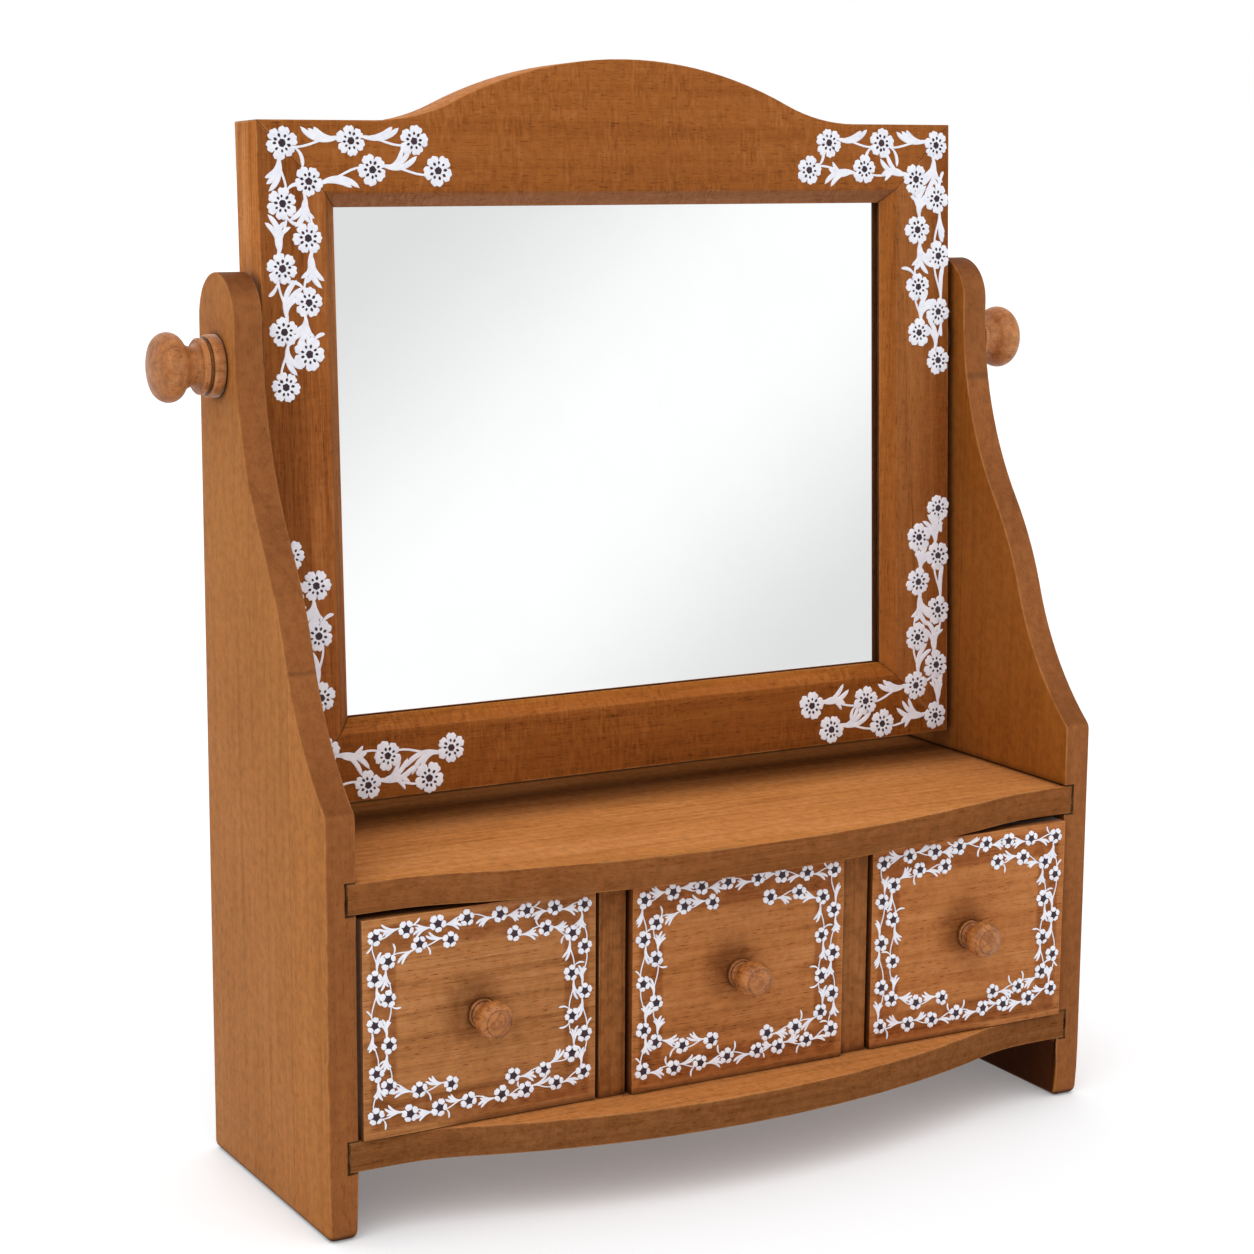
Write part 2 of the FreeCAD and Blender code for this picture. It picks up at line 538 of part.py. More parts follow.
# Pivot knobs with their studs, and what the studs turn in
PIVOT_FOOT_SHARES = [(0.86, 0), (0.9, 0.04), (0.9, 0.3), (0.85, 0.35), (0.75, 0.35), (0.75, 0.4),
                     (0.81, 0.46), (0.81, 0.57), (0.76, 0.62)]
PIVOT_BALL_SHARES = (0.42, 0.53, 2.0, 0.58, 62)
STUD_IN_KNOB = f"({PIVOT_KNOB} * 0.9)"
STUD_IN_INSERT = "(Sizes.insert_length - 2)"
for side, sign in (("left", "-"), ("right", "")):
    outwards = -90 if side == "left" else 90
    inwards = -outwards
    knob = node(doc.addObject("PartDesign::Body", f"{side}_pivot_knob"), f"{side}_pivot_knob")
    knob.Placement = Placement(Vector(0, 0, 0), Rotation(Vector(0, 1, 0), outwards))
    bind(knob, x=f"{sign}(Sizes.case_width / 2 + Sizes.knob_play)", y=PIVOT_Y, z="Sizes.pivot_height")
    turned_knob(knob, PIVOT_KNOB, PIVOT_FOOT_SHARES, PIVOT_BALL_SHARES, "Sizes.stud_diameter", STUD_IN_KNOB)
    stud = rod(f"{side}_pivot_stud", Vector(0, 1, 0), inwards,
               f"{sign}(Sizes.case_width / 2 + Sizes.knob_play + {STUD_IN_KNOB})", PIVOT_Y,
               "Sizes.pivot_height", "Sizes.stud_diameter",
               f"{STUD_IN_KNOB} + Sizes.knob_play + Sizes.board_thickness + Sizes.side_gap"
               f" + {STUD_IN_INSERT}")
    node(stud, f"{side}_pivot_stud")

    sleeve = rod(f"{side}_insert_sleeve", Vector(0, 1, 0), inwards, f"{sign}{FRAME_HALF}", "0", "0",
                 "Sizes.insert_diameter", "Sizes.insert_length")
    bore = rod(f"{side}_insert_bore", Vector(0, 1, 0), inwards, f"{sign}{FRAME_HALF}", "0", "0",
               "Sizes.stud_diameter + 2 * Sizes.stud_thread_clearance", "Sizes.insert_length")
    on_mirror(node(cut(sleeve, bore), f"{side}_pivot_insert"))
    disc = rod(f"{side}_washer_disc", Vector(0, 1, 0), outwards, f"{sign}{FRAME_HALF}", "0", "0",
               "Sizes.washer_diameter", "Sizes.side_gap - Sizes.washer_play")
    eye = rod(f"{side}_washer_eye", Vector(0, 1, 0), outwards, f"{sign}{FRAME_HALF}", "0", "0",
              "Sizes.stud_diameter + 2 * Sizes.stud_hole_clearance", "Sizes.side_gap")
    on_mirror(node(cut(disc, eye), f"{side}_spacer_washer"))

# Drawers: front, two sides, back, bottom in grooves, turned knob and its screw
DRAWER_KNOB_FOOT_SHARES = [(0.74, 0), (0.77, 0.03), (0.77, 0.18), (0.73, 0.23), (0.64, 0.23)]
DRAWER_KNOB_BALL_SHARES = (0.72, 0.81, 2.2, 0.52, 55)
GROOVE = "Sizes.drawer_groove_depth"
WALL = "Sizes.drawer_wall"


def drawer(side, centre, ajar):
    front_y = f"({BACK} - {DIVIDER_FRONT} + Sizes.drawer_closed_inset - {ajar})"
    inside_y = f"({front_y} + Sizes.drawer_front_thickness)"
    rear_y = f"({front_y} + {DRAWER_LENGTH})"
    left_x = f"({centre} - {DRAWER_WIDTH} / 2)"
    right_x = f"({centre} + {DRAWER_WIDTH} / 2)"
    bottom_z = f"({DRAWER_FOOT} + Sizes.drawer_bottom_lift)"
    bottom_top = f"({bottom_z} + Sizes.drawer_bottom_thickness)"
    wall_top = f"({DRAWER_FOOT} + {DRAWER_HEIGHT} - Sizes.drawer_side_drop)"
    knob_z = f"({DRAWER_FOOT} + {DRAWER_HEIGHT} / 2)"
    prefix = f"{side}_drawer"

    # The groove space is shared by the front and both sides
    groove_left = f"({left_x} + {WALL} - {GROOVE})"
    groove_width = f"({DRAWER_WIDTH} - 2 * {WALL} + 2 * {GROOVE})"

    def groove(piece):
        return board(f"{prefix}_{piece}_groove", groove_left, f"{inside_y} - {GROOVE}", bottom_z,
                     groove_width, f"{DRAWER_LENGTH} - Sizes.drawer_front_thickness + {GROOVE}",
                     "Sizes.drawer_bottom_thickness")

    plate = board(f"{prefix}_front_plate", left_x, front_y, DRAWER_FOOT, DRAWER_WIDTH,
                  "Sizes.drawer_front_thickness", DRAWER_HEIGHT)
    screw_hole = rod(f"{prefix}_front_hole", Vector(1, 0, 0), 90, centre, inside_y, knob_z,
                     "Sizes.knob_screw_diameter", "Sizes.drawer_front_thickness")
    node(cut(plate, groove("front"), screw_hole), f"{prefix}_front")

    side_length = f"{DRAWER_LENGTH} - Sizes.drawer_front_thickness"
    for hand, x in (("left", left_x), ("right", f"{right_x} - {WALL}")):
        wall = board(f"{prefix}_{hand}_wall", x, inside_y, DRAWER_FOOT, WALL, side_length,
                     f"{wall_top} - {DRAWER_FOOT}")
        node(cut(wall, groove(hand)), f"{prefix}_{hand}_side")
    node(board(f"{prefix}_back", f"{left_x} + {WALL}", f"{rear_y} - {WALL}", bottom_top,
               f"{DRAWER_WIDTH} - 2 * {WALL}", WALL, f"{wall_top} - {bottom_top}"), f"{prefix}_back")
    node(board(f"{prefix}_bottom", f"{groove_left} + Sizes.drawer_bottom_gap",
               f"{inside_y} - {GROOVE} + Sizes.drawer_bottom_gap", bottom_z,
               f"{groove_width} - 2 * Sizes.drawer_bottom_gap",
               f"{DRAWER_LENGTH} - Sizes.drawer_front_thickness + {GROOVE} - Sizes.drawer_bottom_gap",
               "Sizes.drawer_bottom_thickness"), f"{prefix}_bottom")

    screw_reach = f"({DRAWER_KNOB} * 1.3)"
    knob = node(doc.addObject("PartDesign::Body", f"{prefix}_knob"), f"{prefix}_knob")
    knob.Placement = Placement(Vector(0, 0, 0), Rotation(Vector(1, 0, 0), 90))
    bind(knob, x=centre, y=front_y, z=knob_z)
    turned_knob(knob, DRAWER_KNOB, DRAWER_KNOB_FOOT_SHARES, DRAWER_KNOB_BALL_SHARES,
                "Sizes.knob_screw_diameter", screw_reach)

    screw = node(doc.addObject("PartDesign::Body", f"{prefix}_knob_screw"), f"{prefix}_knob_screw")
    screw.Placement = Placement(Vector(0, 0, 0), Rotation(Vector(1, 0, 0), 90))
    bind(screw, x=centre, y=inside_y, z=knob_z)
    half_screw = "Sizes.knob_screw_diameter / 2"
    tip = f"Sizes.drawer_front_thickness + {screw_reach}"
    profile = sketch(screw, "XZ_Plane", "profile")
    outline(profile, [
        ("0", f"-{half_screw} * 1.2"),
        (f"{half_screw} * 1.5", f"-{half_screw} * 1.2"),
        (f"{half_screw} * 2", f"-{half_screw} * 0.6"),
        (f"{half_screw} * 2", "0"),
        (half_screw, "0"),
        (half_screw, f"{tip} - {half_screw}"),
        ("0", tip),
    ])
    turning = screw.newObject("PartDesign::Revolution", f"{prefix}_knob_screw_turning")
    turning.Profile = profile
    turning.ReferenceAxis = (profile, ["V_Axis"])
    turning.Angle = 360


PITCH = f"({BAY} + Sizes.board_thickness)"
drawer("left", f"(-{PITCH})", "Sizes.left_drawer_ajar")
drawer("middle", "0", "Sizes.middle_drawer_ajar")
drawer("right", PITCH, "Sizes.right_drawer_ajar")

doc.recompute()
faults = [item.Name for item in doc.Objects if {"Invalid", "Error"} & set(item.State)]
faults += [item.Label for item in nodes if item.Shape.isNull() or not item.Shape.isValid()]
if faults:
    raise RuntimeError("these did not build: " + ", ".join(faults))
os.makedirs("parts", exist_ok=True)
for item in nodes:
    item.Shape.exportStep(f"parts/{item.Label}.step")
print(len(nodes), "pieces written")
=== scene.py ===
import math
import random

import bmesh
import bpy
from mathutils import Matrix, Vector


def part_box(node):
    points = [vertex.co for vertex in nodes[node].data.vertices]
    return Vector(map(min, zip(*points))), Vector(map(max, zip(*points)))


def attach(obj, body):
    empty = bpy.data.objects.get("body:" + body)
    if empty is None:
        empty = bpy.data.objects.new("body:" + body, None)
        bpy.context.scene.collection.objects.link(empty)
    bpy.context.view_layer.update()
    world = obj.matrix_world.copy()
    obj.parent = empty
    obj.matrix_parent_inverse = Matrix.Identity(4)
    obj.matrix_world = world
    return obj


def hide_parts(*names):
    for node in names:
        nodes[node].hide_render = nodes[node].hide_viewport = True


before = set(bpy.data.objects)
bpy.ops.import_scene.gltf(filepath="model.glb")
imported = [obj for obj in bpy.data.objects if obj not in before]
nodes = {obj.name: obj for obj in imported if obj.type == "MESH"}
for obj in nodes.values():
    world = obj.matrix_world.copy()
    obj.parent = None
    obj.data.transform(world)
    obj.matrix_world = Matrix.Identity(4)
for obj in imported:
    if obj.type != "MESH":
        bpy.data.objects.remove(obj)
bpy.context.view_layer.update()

MM = 0.001
AXES = {"x": 0, "y": 1, "z": 2}
SIDES = ("left", "right")
DRAWERS = ("left", "middle", "right")


def srgb(red, green, blue):
    """A colour as it should appear, 0 to 255, as linear RGBA."""
    linear = []
    for value in (red, green, blue):
        share = value / 255
        linear.append(share / 12.92 if share <= 0.04045 else ((share + 0.055) / 1.055) ** 2.4)
    return (*linear, 1.0)


class Nodes:
    """Short ways to write a node tree. A value that is a socket is linked, and any other is set."""

    def __init__(self, tree):
        self.tree = tree

    def feed(self, node, inputs):
        for key, value in inputs.items():
            if isinstance(value, bpy.types.NodeSocket):
                self.tree.links.new(value, node.inputs[key])
            else:
                node.inputs[key].default_value = value

    def new(self, kind, inputs=None, **settings):
        node = self.tree.nodes.new(kind)
        for name, value in settings.items():
            setattr(node, name, value)
        self.feed(node, inputs or {})
        return node

    def math(self, operation, first, second=0.0, third=0.0, clamp=False):
        values = {0: first, 1: second, 2: third}
        return self.new("ShaderNodeMath", values, operation=operation, use_clamp=clamp).outputs[0]

    def vector(self, operation, first, second=(0, 0, 0)):
        node = self.new("ShaderNodeVectorMath", {0: first, 1: second}, operation=operation)
        return node.outputs["Value" if operation in ("DOT_PRODUCT", "LENGTH") else "Vector"]

    def ramp(self, value, low, high, to_low=0.0, to_high=1.0):
        values = {0: value, 1: low, 2: high, 3: to_low, 4: to_high}
        return self.new("ShaderNodeMapRange", values, interpolation_type="SMOOTHSTEP").outputs[0]

    def mix(self, factor, first, second, blend="MIX"):
        values = {0: factor, 6: first, 7: second}
        return self.new("ShaderNodeMix", values, data_type="RGBA", blend_type=blend).outputs[2]

    def noise(self, vector, per_metre, detail=2.0, rough=0.5):
        """Noise with so many features to the metre: one number for all axes, or one for each."""
        stretch = per_metre if isinstance(per_metre, tuple) else (per_metre,) * 3
        scaled = self.vector("MULTIPLY", vector, stretch)
        values = {"Vector": scaled, "Scale": 1.0, "Detail": detail, "Roughness": rough}
        return self.new("ShaderNodeTexNoise", values).outputs["Fac"]

    def times(self, first, second):
        return self.math("MULTIPLY", first, second)

    def about(self, value, middle=0.5):
        return self.math("SUBTRACT", value, middle)

    def apart(self, value, middle):
        return self.math("ABSOLUTE", self.about(value, middle))

    def split(self, vector):
        return self.new("ShaderNodeSeparateXYZ", {0: vector}).outputs

    def on_object(self):
        """Where a point is on its object, in metres."""
        return self.new("ShaderNodeTexCoord").outputs["Object"]

    def open_sky(self, reach, samples):
        """How free a point is of other faces within a reach."""
        return self.new("ShaderNodeAmbientOcclusion", {"Distance": reach}, samples=samples).outputs["AO"]

    def bump(self, height, depth, strength):
        relief = {"Height": height, "Distance": depth, "Strength": strength}
        return self.new("ShaderNodeBump", relief).outputs[0]


def material(name):
    made = bpy.data.materials.new(name)
    made.use_nodes = True
    made.node_tree.nodes.clear()
    tree = Nodes(made.node_tree)
    shader = tree.new("ShaderNodeBsdfPrincipled")
    tree.new("ShaderNodeOutputMaterial", {"Surface": shader.outputs[0]})
    return made, tree, shader


def sockets(group, direction, kind, names):
    for name in names:
        group.interface.new_socket(name, in_out=direction, socket_type=f"NodeSocket{kind}")


FIGURE_SETTINGS = ("ring", "wander", "rings", "fibres", "pores", "blotches", "flecks", "bands")
SHADES = ("dark", "middle", "light")


def wood_figure():
    """Growth rings round a pith line, fibres, pores, flecks and stain blotches, for coordinates in metres
    with the grain along X. The tone runs from dark over middle to light."""
    group = bpy.data.node_groups.new("wood_figure", "ShaderNodeTree")
    sockets(group, "INPUT", "Vector", ("place",))
    sockets(group, "INPUT", "Float", FIGURE_SETTINGS)
    sockets(group, "INPUT", "Color", SHADES)
    sockets(group, "OUTPUT", "Color", ("colour",))
    sockets(group, "OUTPUT", "Float", ("tone", "height"))
    tree = Nodes(group)
    given = tree.new("NodeGroupInput").outputs
    place = given["place"]
    parts = tree.split(place)

    # Rings: the distance from the pith, bent a little, and dark late wood of a chance strength in each year
    wander = tree.times(tree.about(tree.noise(place, (2.6, 10, 10))), given["wander"])
    ripple = tree.times(tree.about(tree.noise(place, (19, 80, 80), 3)), 0.0034)
    across = tree.math("POWER", parts[1], 2.0)
    through = tree.math("POWER", parts[2], 2.0)
    radius = tree.math("SQRT", tree.math("ADD", across, through))
    radius = tree.math("ADD", tree.math("ADD", radius, wander), ripple)
    phase = tree.math("DIVIDE", radius, given["ring"])
    saw = tree.math("FRACT", phase)
    late = tree.times(tree.math("POWER", saw, 2.4), tree.ramp(saw, 0.9, 1.0, 1.0, 0.0))
    year = tree.math("FLOOR", phase)
    chance = tree.new("ShaderNodeTexWhiteNoise", {"W": year}, noise_dimensions="1D").outputs["Value"]
    ring = tree.times(late, tree.ramp(chance, 0.0, 1.0, 0.25, 1.15))

    fibre = tree.noise(place, (26, 1500, 1500), 3, 0.6)
    streak = tree.noise(place, (7, 240, 240), 4, 0.62)
    pore = tree.ramp(tree.noise(place, (210, 1700, 1700)), 0.6, 0.71)
    blotch = tree.noise(place, (9, 22, 22), 4, 0.6)
    band = tree.noise(place, (3.5, 95, 60))
    fleck = tree.noise(place, (640, 130, 300), 3, 0.7)
    fleck_patch = tree.ramp(tree.noise(place, (60, 45, 45)), 0.38, 0.62, 0.4, 1.4)
    fleck = tree.times(tree.about(fleck), fleck_patch)

    tone = tree.math("SUBTRACT", 0.5, tree.times(tree.about(ring, 0.22), given["rings"]))
    for strength, value in (("fibres", fibre), ("fibres", streak), ("blotches", blotch), ("bands", band)):
        tone = tree.math("ADD", tone, tree.times(tree.about(value), given[strength]))
    tone = tree.math("ADD", tone, tree.times(fleck, given["flecks"]))
    tone = tree.math("SUBTRACT", tone, tree.times(pore, given["pores"]), clamp=True)
    lower = tree.math("MULTIPLY", tone, 2.0, clamp=True)
    upper = tree.math("MULTIPLY_ADD", tone, 2.0, -1.0, clamp=True)
    colour = tree.mix(upper, tree.mix(lower, given["dark"], given["middle"]), given["light"])
    height = tree.math("MULTIPLY_ADD", ring, -0.35, fibre)
    height = tree.math("MULTIPLY_ADD", pore, -0.8, height)
    tree.new("NodeGroupOutput", {"colour": colour, "tone": tone, "height": height})
    return group


FIGURE = wood_figure()

# How a board looks unless it says otherwise. pith is how far off the tree's middle lies, across the board
# and through it, start where along the tree it was cut, ring the width of a year, edge and end are tints.
LOOK = {"pith": (0.03, 0.09), "start": 0.0, "ring": 0.0042, "wander": 0.012, "rings": 0.5, "fibres": 0.5,
        "pores": 0.25, "blotches": 0.45, "flecks": 0.0, "bands": 0.0, "edge": (0.7, 0.66, 0.62),
        "end": (0.62, 0.56, 0.52), "mottle": 0.08, "nicks": 0.25, "wear": 0.8, "rough": 0.56, "gloss": 0.05}


class Board(Nodes):
    """The material of one piece of stained wood, in coats over its figure, with lengths in metres. Some coats
    are painted light and shade. order names the object's axes along the grain, across the board and through
    it."""

    # The corner, under-foot and knob-shadow colours and tints here are painted shade.
    GLUE_LINE, NICK, SEAM = (112, 72, 42), (84, 46, 22), (24, 11, 5)
    RUBBED, GRIME = (206, 148, 94), (42, 23, 11)
    SECOND_TINT, UNDER_TINT, GROOVE_TINT = (0.93, 0.94, 0.96), (0.2, 0.16, 0.15), (0.4, 0.32, 0.27)
    BORDER_TINT, SMEAR_TINT, STAIN_TINT = (0.66, 0.56, 0.5), (0.42, 0.36, 0.32), (0.55, 0.5, 0.46)
    SECOND_START, SECOND_PITH = 0.53, 0.041
    UNDER_SOFT, BORDER_SOFT = 0.003, 0.002
    GRIME_REACH, WEAR_REACH = 0.005, 0.0014
    RELIEF = 0.00012

    def __init__(self, name, order):
        self.made, bare, self.shader = material(name)
        super().__init__(bare.tree)
        self.order = order
        self.place = self.on_object()
        self.parts = self.split(self.place)
        self.normal = self.new("ShaderNodeNewGeometry").outputs["Normal"]
        facing = self.new("ShaderNodeVectorTransform", {0: self.normal}, vector_type="NORMAL",
                          convert_from="WORLD", convert_to="OBJECT").outputs[0]
        self.turned = self.split(facing)
        self.flat = self.ramp(self.turning(order[2]), 0.45, 0.9)

    def turning(self, axis):
        return self.math("ABSOLUTE", self.turned[AXES[axis]])

    def tint(self, share, tint):
        self.colour = self.mix(share, self.colour, (*tint, 1), "MULTIPLY")

    def cover(self, share, colour):
        self.colour = self.mix(share, self.colour, srgb(*colour))

    def patches(self, per_metre, low, high, least, most):
        return self.ramp(self.noise(self.place, per_metre, 3, 0.6), low, high, least, most)

    def grow(self, palette, look, glue):
        """The figure, in one board, or in two that meet at a glue line somewhere across."""
        along, across, through = (self.parts[AXES[axis]] for axis in self.order)
        start, (aside, deep) = look["start"], look["pith"]
        if glue is not None:
            second = self.math("GREATER_THAN", across, glue)
            start = self.math("MULTIPLY_ADD", second, self.SECOND_START, start)
            aside = self.math("MULTIPLY_ADD", second, self.SECOND_PITH, aside)
        spot = {0: self.math("ADD", along, start), 1: self.math("ADD", across, aside),
                2: self.math("ADD", through, deep)}
        settings = {"place": self.new("ShaderNodeCombineXYZ", spot).outputs[0]}
        settings.update((name, look[name]) for name in FIGURE_SETTINGS)
        settings.update((shade, srgb(*colour)) for shade, colour in zip(SHADES, palette))
        self.figure = self.new("ShaderNodeGroup", settings, node_tree=FIGURE).outputs
        self.colour = self.figure["colour"]
        if glue is not None:
            self.tint(self.times(second, 0.5), self.SECOND_TINT)
            self.cover(self.ramp(self.apart(across, glue), 0.0001, 0.0006, 0.4, 0.0), self.GLUE_LINE)

    def faces(self, edge, end):
        """Tints for the faces that turn away from the flat side, and for end grain. The side tint is stain
        on most boards and painted light on the frame's sides.
        """
        self.tint(self.math("SUBTRACT", 1.0, self.flat), edge)
        self.tint(self.ramp(self.turning(self.order[0]), 0.35, 0.95), end)

    def shaded_chamfer(self, *tint):
        """Painted light and shade on chamfers: each piece's tint is set by which way its chamfer faces the
        light.
        """
        self.tint(self.ramp(self.apart(self.flat, 0.6), 0.1, 0.35, 1.0, 0.0), tint)

    def shaded(self, axis, side, tint, under=None):
        """Painted shade: a tint for the faces that look one way along an axis. Below a height they are darker
        still.
        """
        towards = self.ramp(self.times(self.turned[AXES[axis]], side), 0.85, 0.97)
        self.tint(towards, tint)
        if under is not None:
            low = self.ramp(self.parts[2], under - self.UNDER_SOFT, under, 1.0, 0.0)
            self.tint(self.times(towards, low), self.UNDER_TINT)

    def shaded_along(self, axis, begins, dark_from, tint):
        """Painted shade: the flat side gets darker between two places along an axis."""
        along = self.ramp(self.parts[AXES[axis]], begins, dark_from)
        self.tint(self.times(self.flat, along), tint)

    def grooved(self, centre, radius):
        """A turned line round a knob's face."""
        out = self.vector("MULTIPLY", self.vector("SUBTRACT", self.place, centre), (1, 0, 1))
        gap = self.apart(self.vector("LENGTH", out), radius)
        self.tint(self.ramp(gap, 0.0001, 0.0005, 0.6, 0.0), self.GROOVE_TINT)

    def bordered(self, centre, half, near, far):
        """A darker band round a front, between two distances from its edges."""
        across, up = (self.about(half[axis], self.apart(self.parts[axis], centre[axis])) for axis in (0, 2))
        inset = self.math("MINIMUM", across, up)
        band = self.times(self.ramp(inset, near, near + self.BORDER_SOFT),
                          self.ramp(inset, far - self.BORDER_SOFT, far, 1.0, 0.0))
        self.tint(self.times(band, self.patches(170, 0.3, 0.6, 0.45, 1.0)), self.BORDER_TINT)

    def knob_shadow(self, *spot):
        """A painted shadow: a soft dark halo round a spot beside a knob."""
        away = self.vector("LENGTH", self.vector("SUBTRACT", self.place, spot))
        shadow_halo = self.ramp(away, 0.006, 0.019, 0.75, 0.0)
        self.tint(self.times(shadow_halo, self.patches(150, 0.25, 0.6, 0.5, 1.0)), self.SMEAR_TINT)

    def knocked(self, mottle, nicks):
        """Stain that took unevenly, and dark nicks."""
        cloud = self.noise(self.place, 210, 4, 0.68)
        self.tint(self.ramp(cloud, 0.35, 0.62, 3 * mottle, 0.0), self.STAIN_TINT)
        long_nicks = (420, 420, 130) if self.order[0] == "z" else (130, 130, 420)
        knock = self.noise(self.place, long_nicks, 3, 0.7)
        self.cover(self.ramp(knock, 0.66, 0.74, 0.0, nicks), self.NICK)

    def housed(self, reach, heights):
        """Dark lines where boards end in a side: how far they reach, and between which heights if not all."""
        wobble = self.times(self.about(self.noise(self.place, 260)), 0.0009)
        aside = self.math("ADD", self.about(self.math("ABSOLUTE", self.parts[0]), reach), wobble)
        gaps = []
        for low, high in heights:
            above = self.about(self.apart(self.parts[2], (low + high) / 2), (high - low) / 2)
            gaps.append(self.math("MAXIMUM", aside, above))
        for gap in gaps or [aside]:
            self.cover(self.ramp(self.math("ABSOLUTE", gap), 0.0005, 0.001, 0.95, 0.0), self.SEAM)

    def worn(self, wear):
        """Edges rubbed pale, and painted shade that darkens the corners where boards meet."""
        open_sky = self.open_sky(self.GRIME_REACH, 6)
        eased = self.new("ShaderNodeBevel", {"Radius": self.WEAR_REACH}, samples=4).outputs[0]
        corner = self.math("SUBTRACT", 1.0, self.vector("DOT_PRODUCT", eased, self.normal))
        rubbed = self.times(self.patches(60, 0.36, 0.62, 0.0, wear), self.ramp(open_sky, 0.6, 0.9))
        self.cover(self.times(self.ramp(corner, 0.015, 0.16), rubbed), self.RUBBED)
        # Painted shade in corners, where other faces are near
        self.cover(self.ramp(open_sky, 0.4, 0.85, 0.75, 0.0), self.GRIME)

    def finished(self, rough, gloss):
        sheen = self.ramp(self.figure["tone"], 0.1, 0.9, rough + 0.1, rough - 0.07)
        self.feed(self.shader, {"Base Color": self.colour, "Roughness": sheen, "Specular IOR Level": gloss,
                                "Normal": self.bump(self.figure["height"], self.RELIEF, 0.7)})
        return self.made


def dress(node, made):
    mesh = nodes[node].data
    mesh.materials.clear()
    mesh.materials.append(made)


def wood(node, order, palette, glue=None, chamfer_shading=None, shade=None, shade_along=None, groove=None, border=None,
         knob_shadow=None, housings=None, **look):
    """Dresses a node in stained wood. Coats that it doesn't name are left out."""
    look = {**LOOK, **look}
    board = Board(f"{node}_wood", order)
    board.grow(palette, look, glue)
    board.faces(look["edge"], look["end"])
    for coat, given in ((board.shaded_chamfer, chamfer_shading), (board.shaded, shade), (board.shaded_along, shade_along),
                        (board.grooved, groove), (board.bordered, border), (board.knob_shadow, knob_shadow)):
        if given is not None:
            coat(*given)
    board.knocked(look["mottle"], look["nicks"])
    if housings is not None:
        board.housed(*housings)
    board.worn(look["wear"])
    dress(node, board.finished(look["rough"], look["gloss"]))


# Palettes: dark, middle and light
CASE = ((110, 63, 26), (182, 116, 58), (208, 143, 79))
CASE_DEEP = ((94, 52, 24), (159, 99, 52), (184, 123, 74))
SHELF = ((133, 75, 36), (200, 130, 71), (222, 159, 106))
LEFT_STILE = ((92, 46, 14), (157, 90, 40), (188, 121, 66))
RIGHT_STILE = ((94, 49, 18), (157, 94, 46), (188, 126, 74))
TOP_RAIL = ((108, 55, 20), (159, 92, 39), (186, 119, 66))
BOTTOM_RAIL = ((82, 39, 9), (138, 76, 26), (164, 99, 44))
FRONTS = {"left": ((110, 61, 27), (180, 118, 68), (205, 148, 99)),
          "middle": ((110, 59, 25), (180, 113, 61), (204, 141, 89)),
          "right": ((111, 59, 24), (182, 113, 61), (207, 142, 88))}
RAW = ((150, 108, 66), (196, 155, 108), (216, 180, 134))
KNOB = ((94, 46, 19), (186, 116, 58), (211, 147, 92))
PIVOT_KNOB = ((96, 48, 22), (187, 118, 64), (212, 152, 100))

# Tints: stains, and painted light and shade where marked
PANEL_EDGE = (0.67, 0.62, 0.73)
# Painted shade on the side panels' inner faces, darker still below the base
PANEL_INNER_SHADE = (0.7, 0.58, 0.34)
SHELF_EDGE = (0.46, 0.415, 0.43)
# Painted shadow on the shelf's strip under and behind the mirror frame
SHELF_REAR_SHADE = (0.36, 0.32, 0.3)
BASE_EDGE = (0.425, 0.4, 0.425)
DIVIDER_EDGE = (0.86, 0.84, 0.82)
FRONT_EDGE = (0.8, 0.76, 0.72)
BACK_EDGE = (0.2, 0.14, 0.09)
# Painted light: lifts the frame's side faces as if lit
FRAME_SIDE_LIGHT = (1.46, 1.56, 1.36)
FRAME_END = (0.85, 0.82, 0.8)
# Painted shade on the faces round the frame's opening
LIP_SHADE = (0.16, 0.13, 0.12)
PLAIN = (1, 1, 1)

SHELF_LOW, SHELF_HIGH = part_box("shelf_board")
BASE_LOW, BASE_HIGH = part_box("base_board")
BOARD_REACH = SHELF_HIGH.x
HOUSED = ((SHELF_LOW.z, SHELF_HIGH.z), (BASE_LOW.z, BASE_HIGH.z))
PANEL = {"ring": 0.006, "rings": 0.08, "pores": 0.16, "mottle": 0.12, "edge": PANEL_EDGE,
         "housings": (BOARD_REACH, HOUSED)}
wood("left_side_panel", "zyx", CASE, pith=(0.02, 0.26), start=0.3, fibres=0.24, blotches=0.4, glue=-0.0135,
     shade=("x", 1, PANEL_INNER_SHADE, BASE_LOW.z), **PANEL)
wood("right_side_panel", "zyx", CASE, pith=(0.05, -0.27), start=1.7, fibres=0.26, blotches=0.45, glue=0.0366,
     shade=("x", -1, PANEL_INNER_SHADE, BASE_LOW.z), **PANEL)

LYING = {"rings": 0.16, "mottle": 0.12, "gloss": 0.0, "housings": (BOARD_REACH, ())}
wood("shelf_board", "xyz", SHELF, pith=(0.06, -0.2), start=2.9, blotches=0.55, edge=SHELF_EDGE,
     shade_along=("y", 0.004, 0.04, SHELF_REAR_SHADE), **LYING)
wood("base_board", "xyz", SHELF, pith=(0.03, -0.16), start=4.1, blotches=0.6, flecks=0.4, edge=BASE_EDGE,
     **LYING)

DIVIDER = {"rings": 0.25, "blotches": 0.8, "mottle": 0.2, "edge": DIVIDER_EDGE}
wood("left_divider", "zyx", CASE_DEEP, pith=(0.1, 0.12), start=5.3, **DIVIDER)
wood("right_divider", "zyx", CASE_DEEP, pith=(0.07, -0.02), start=6.1, **DIVIDER)

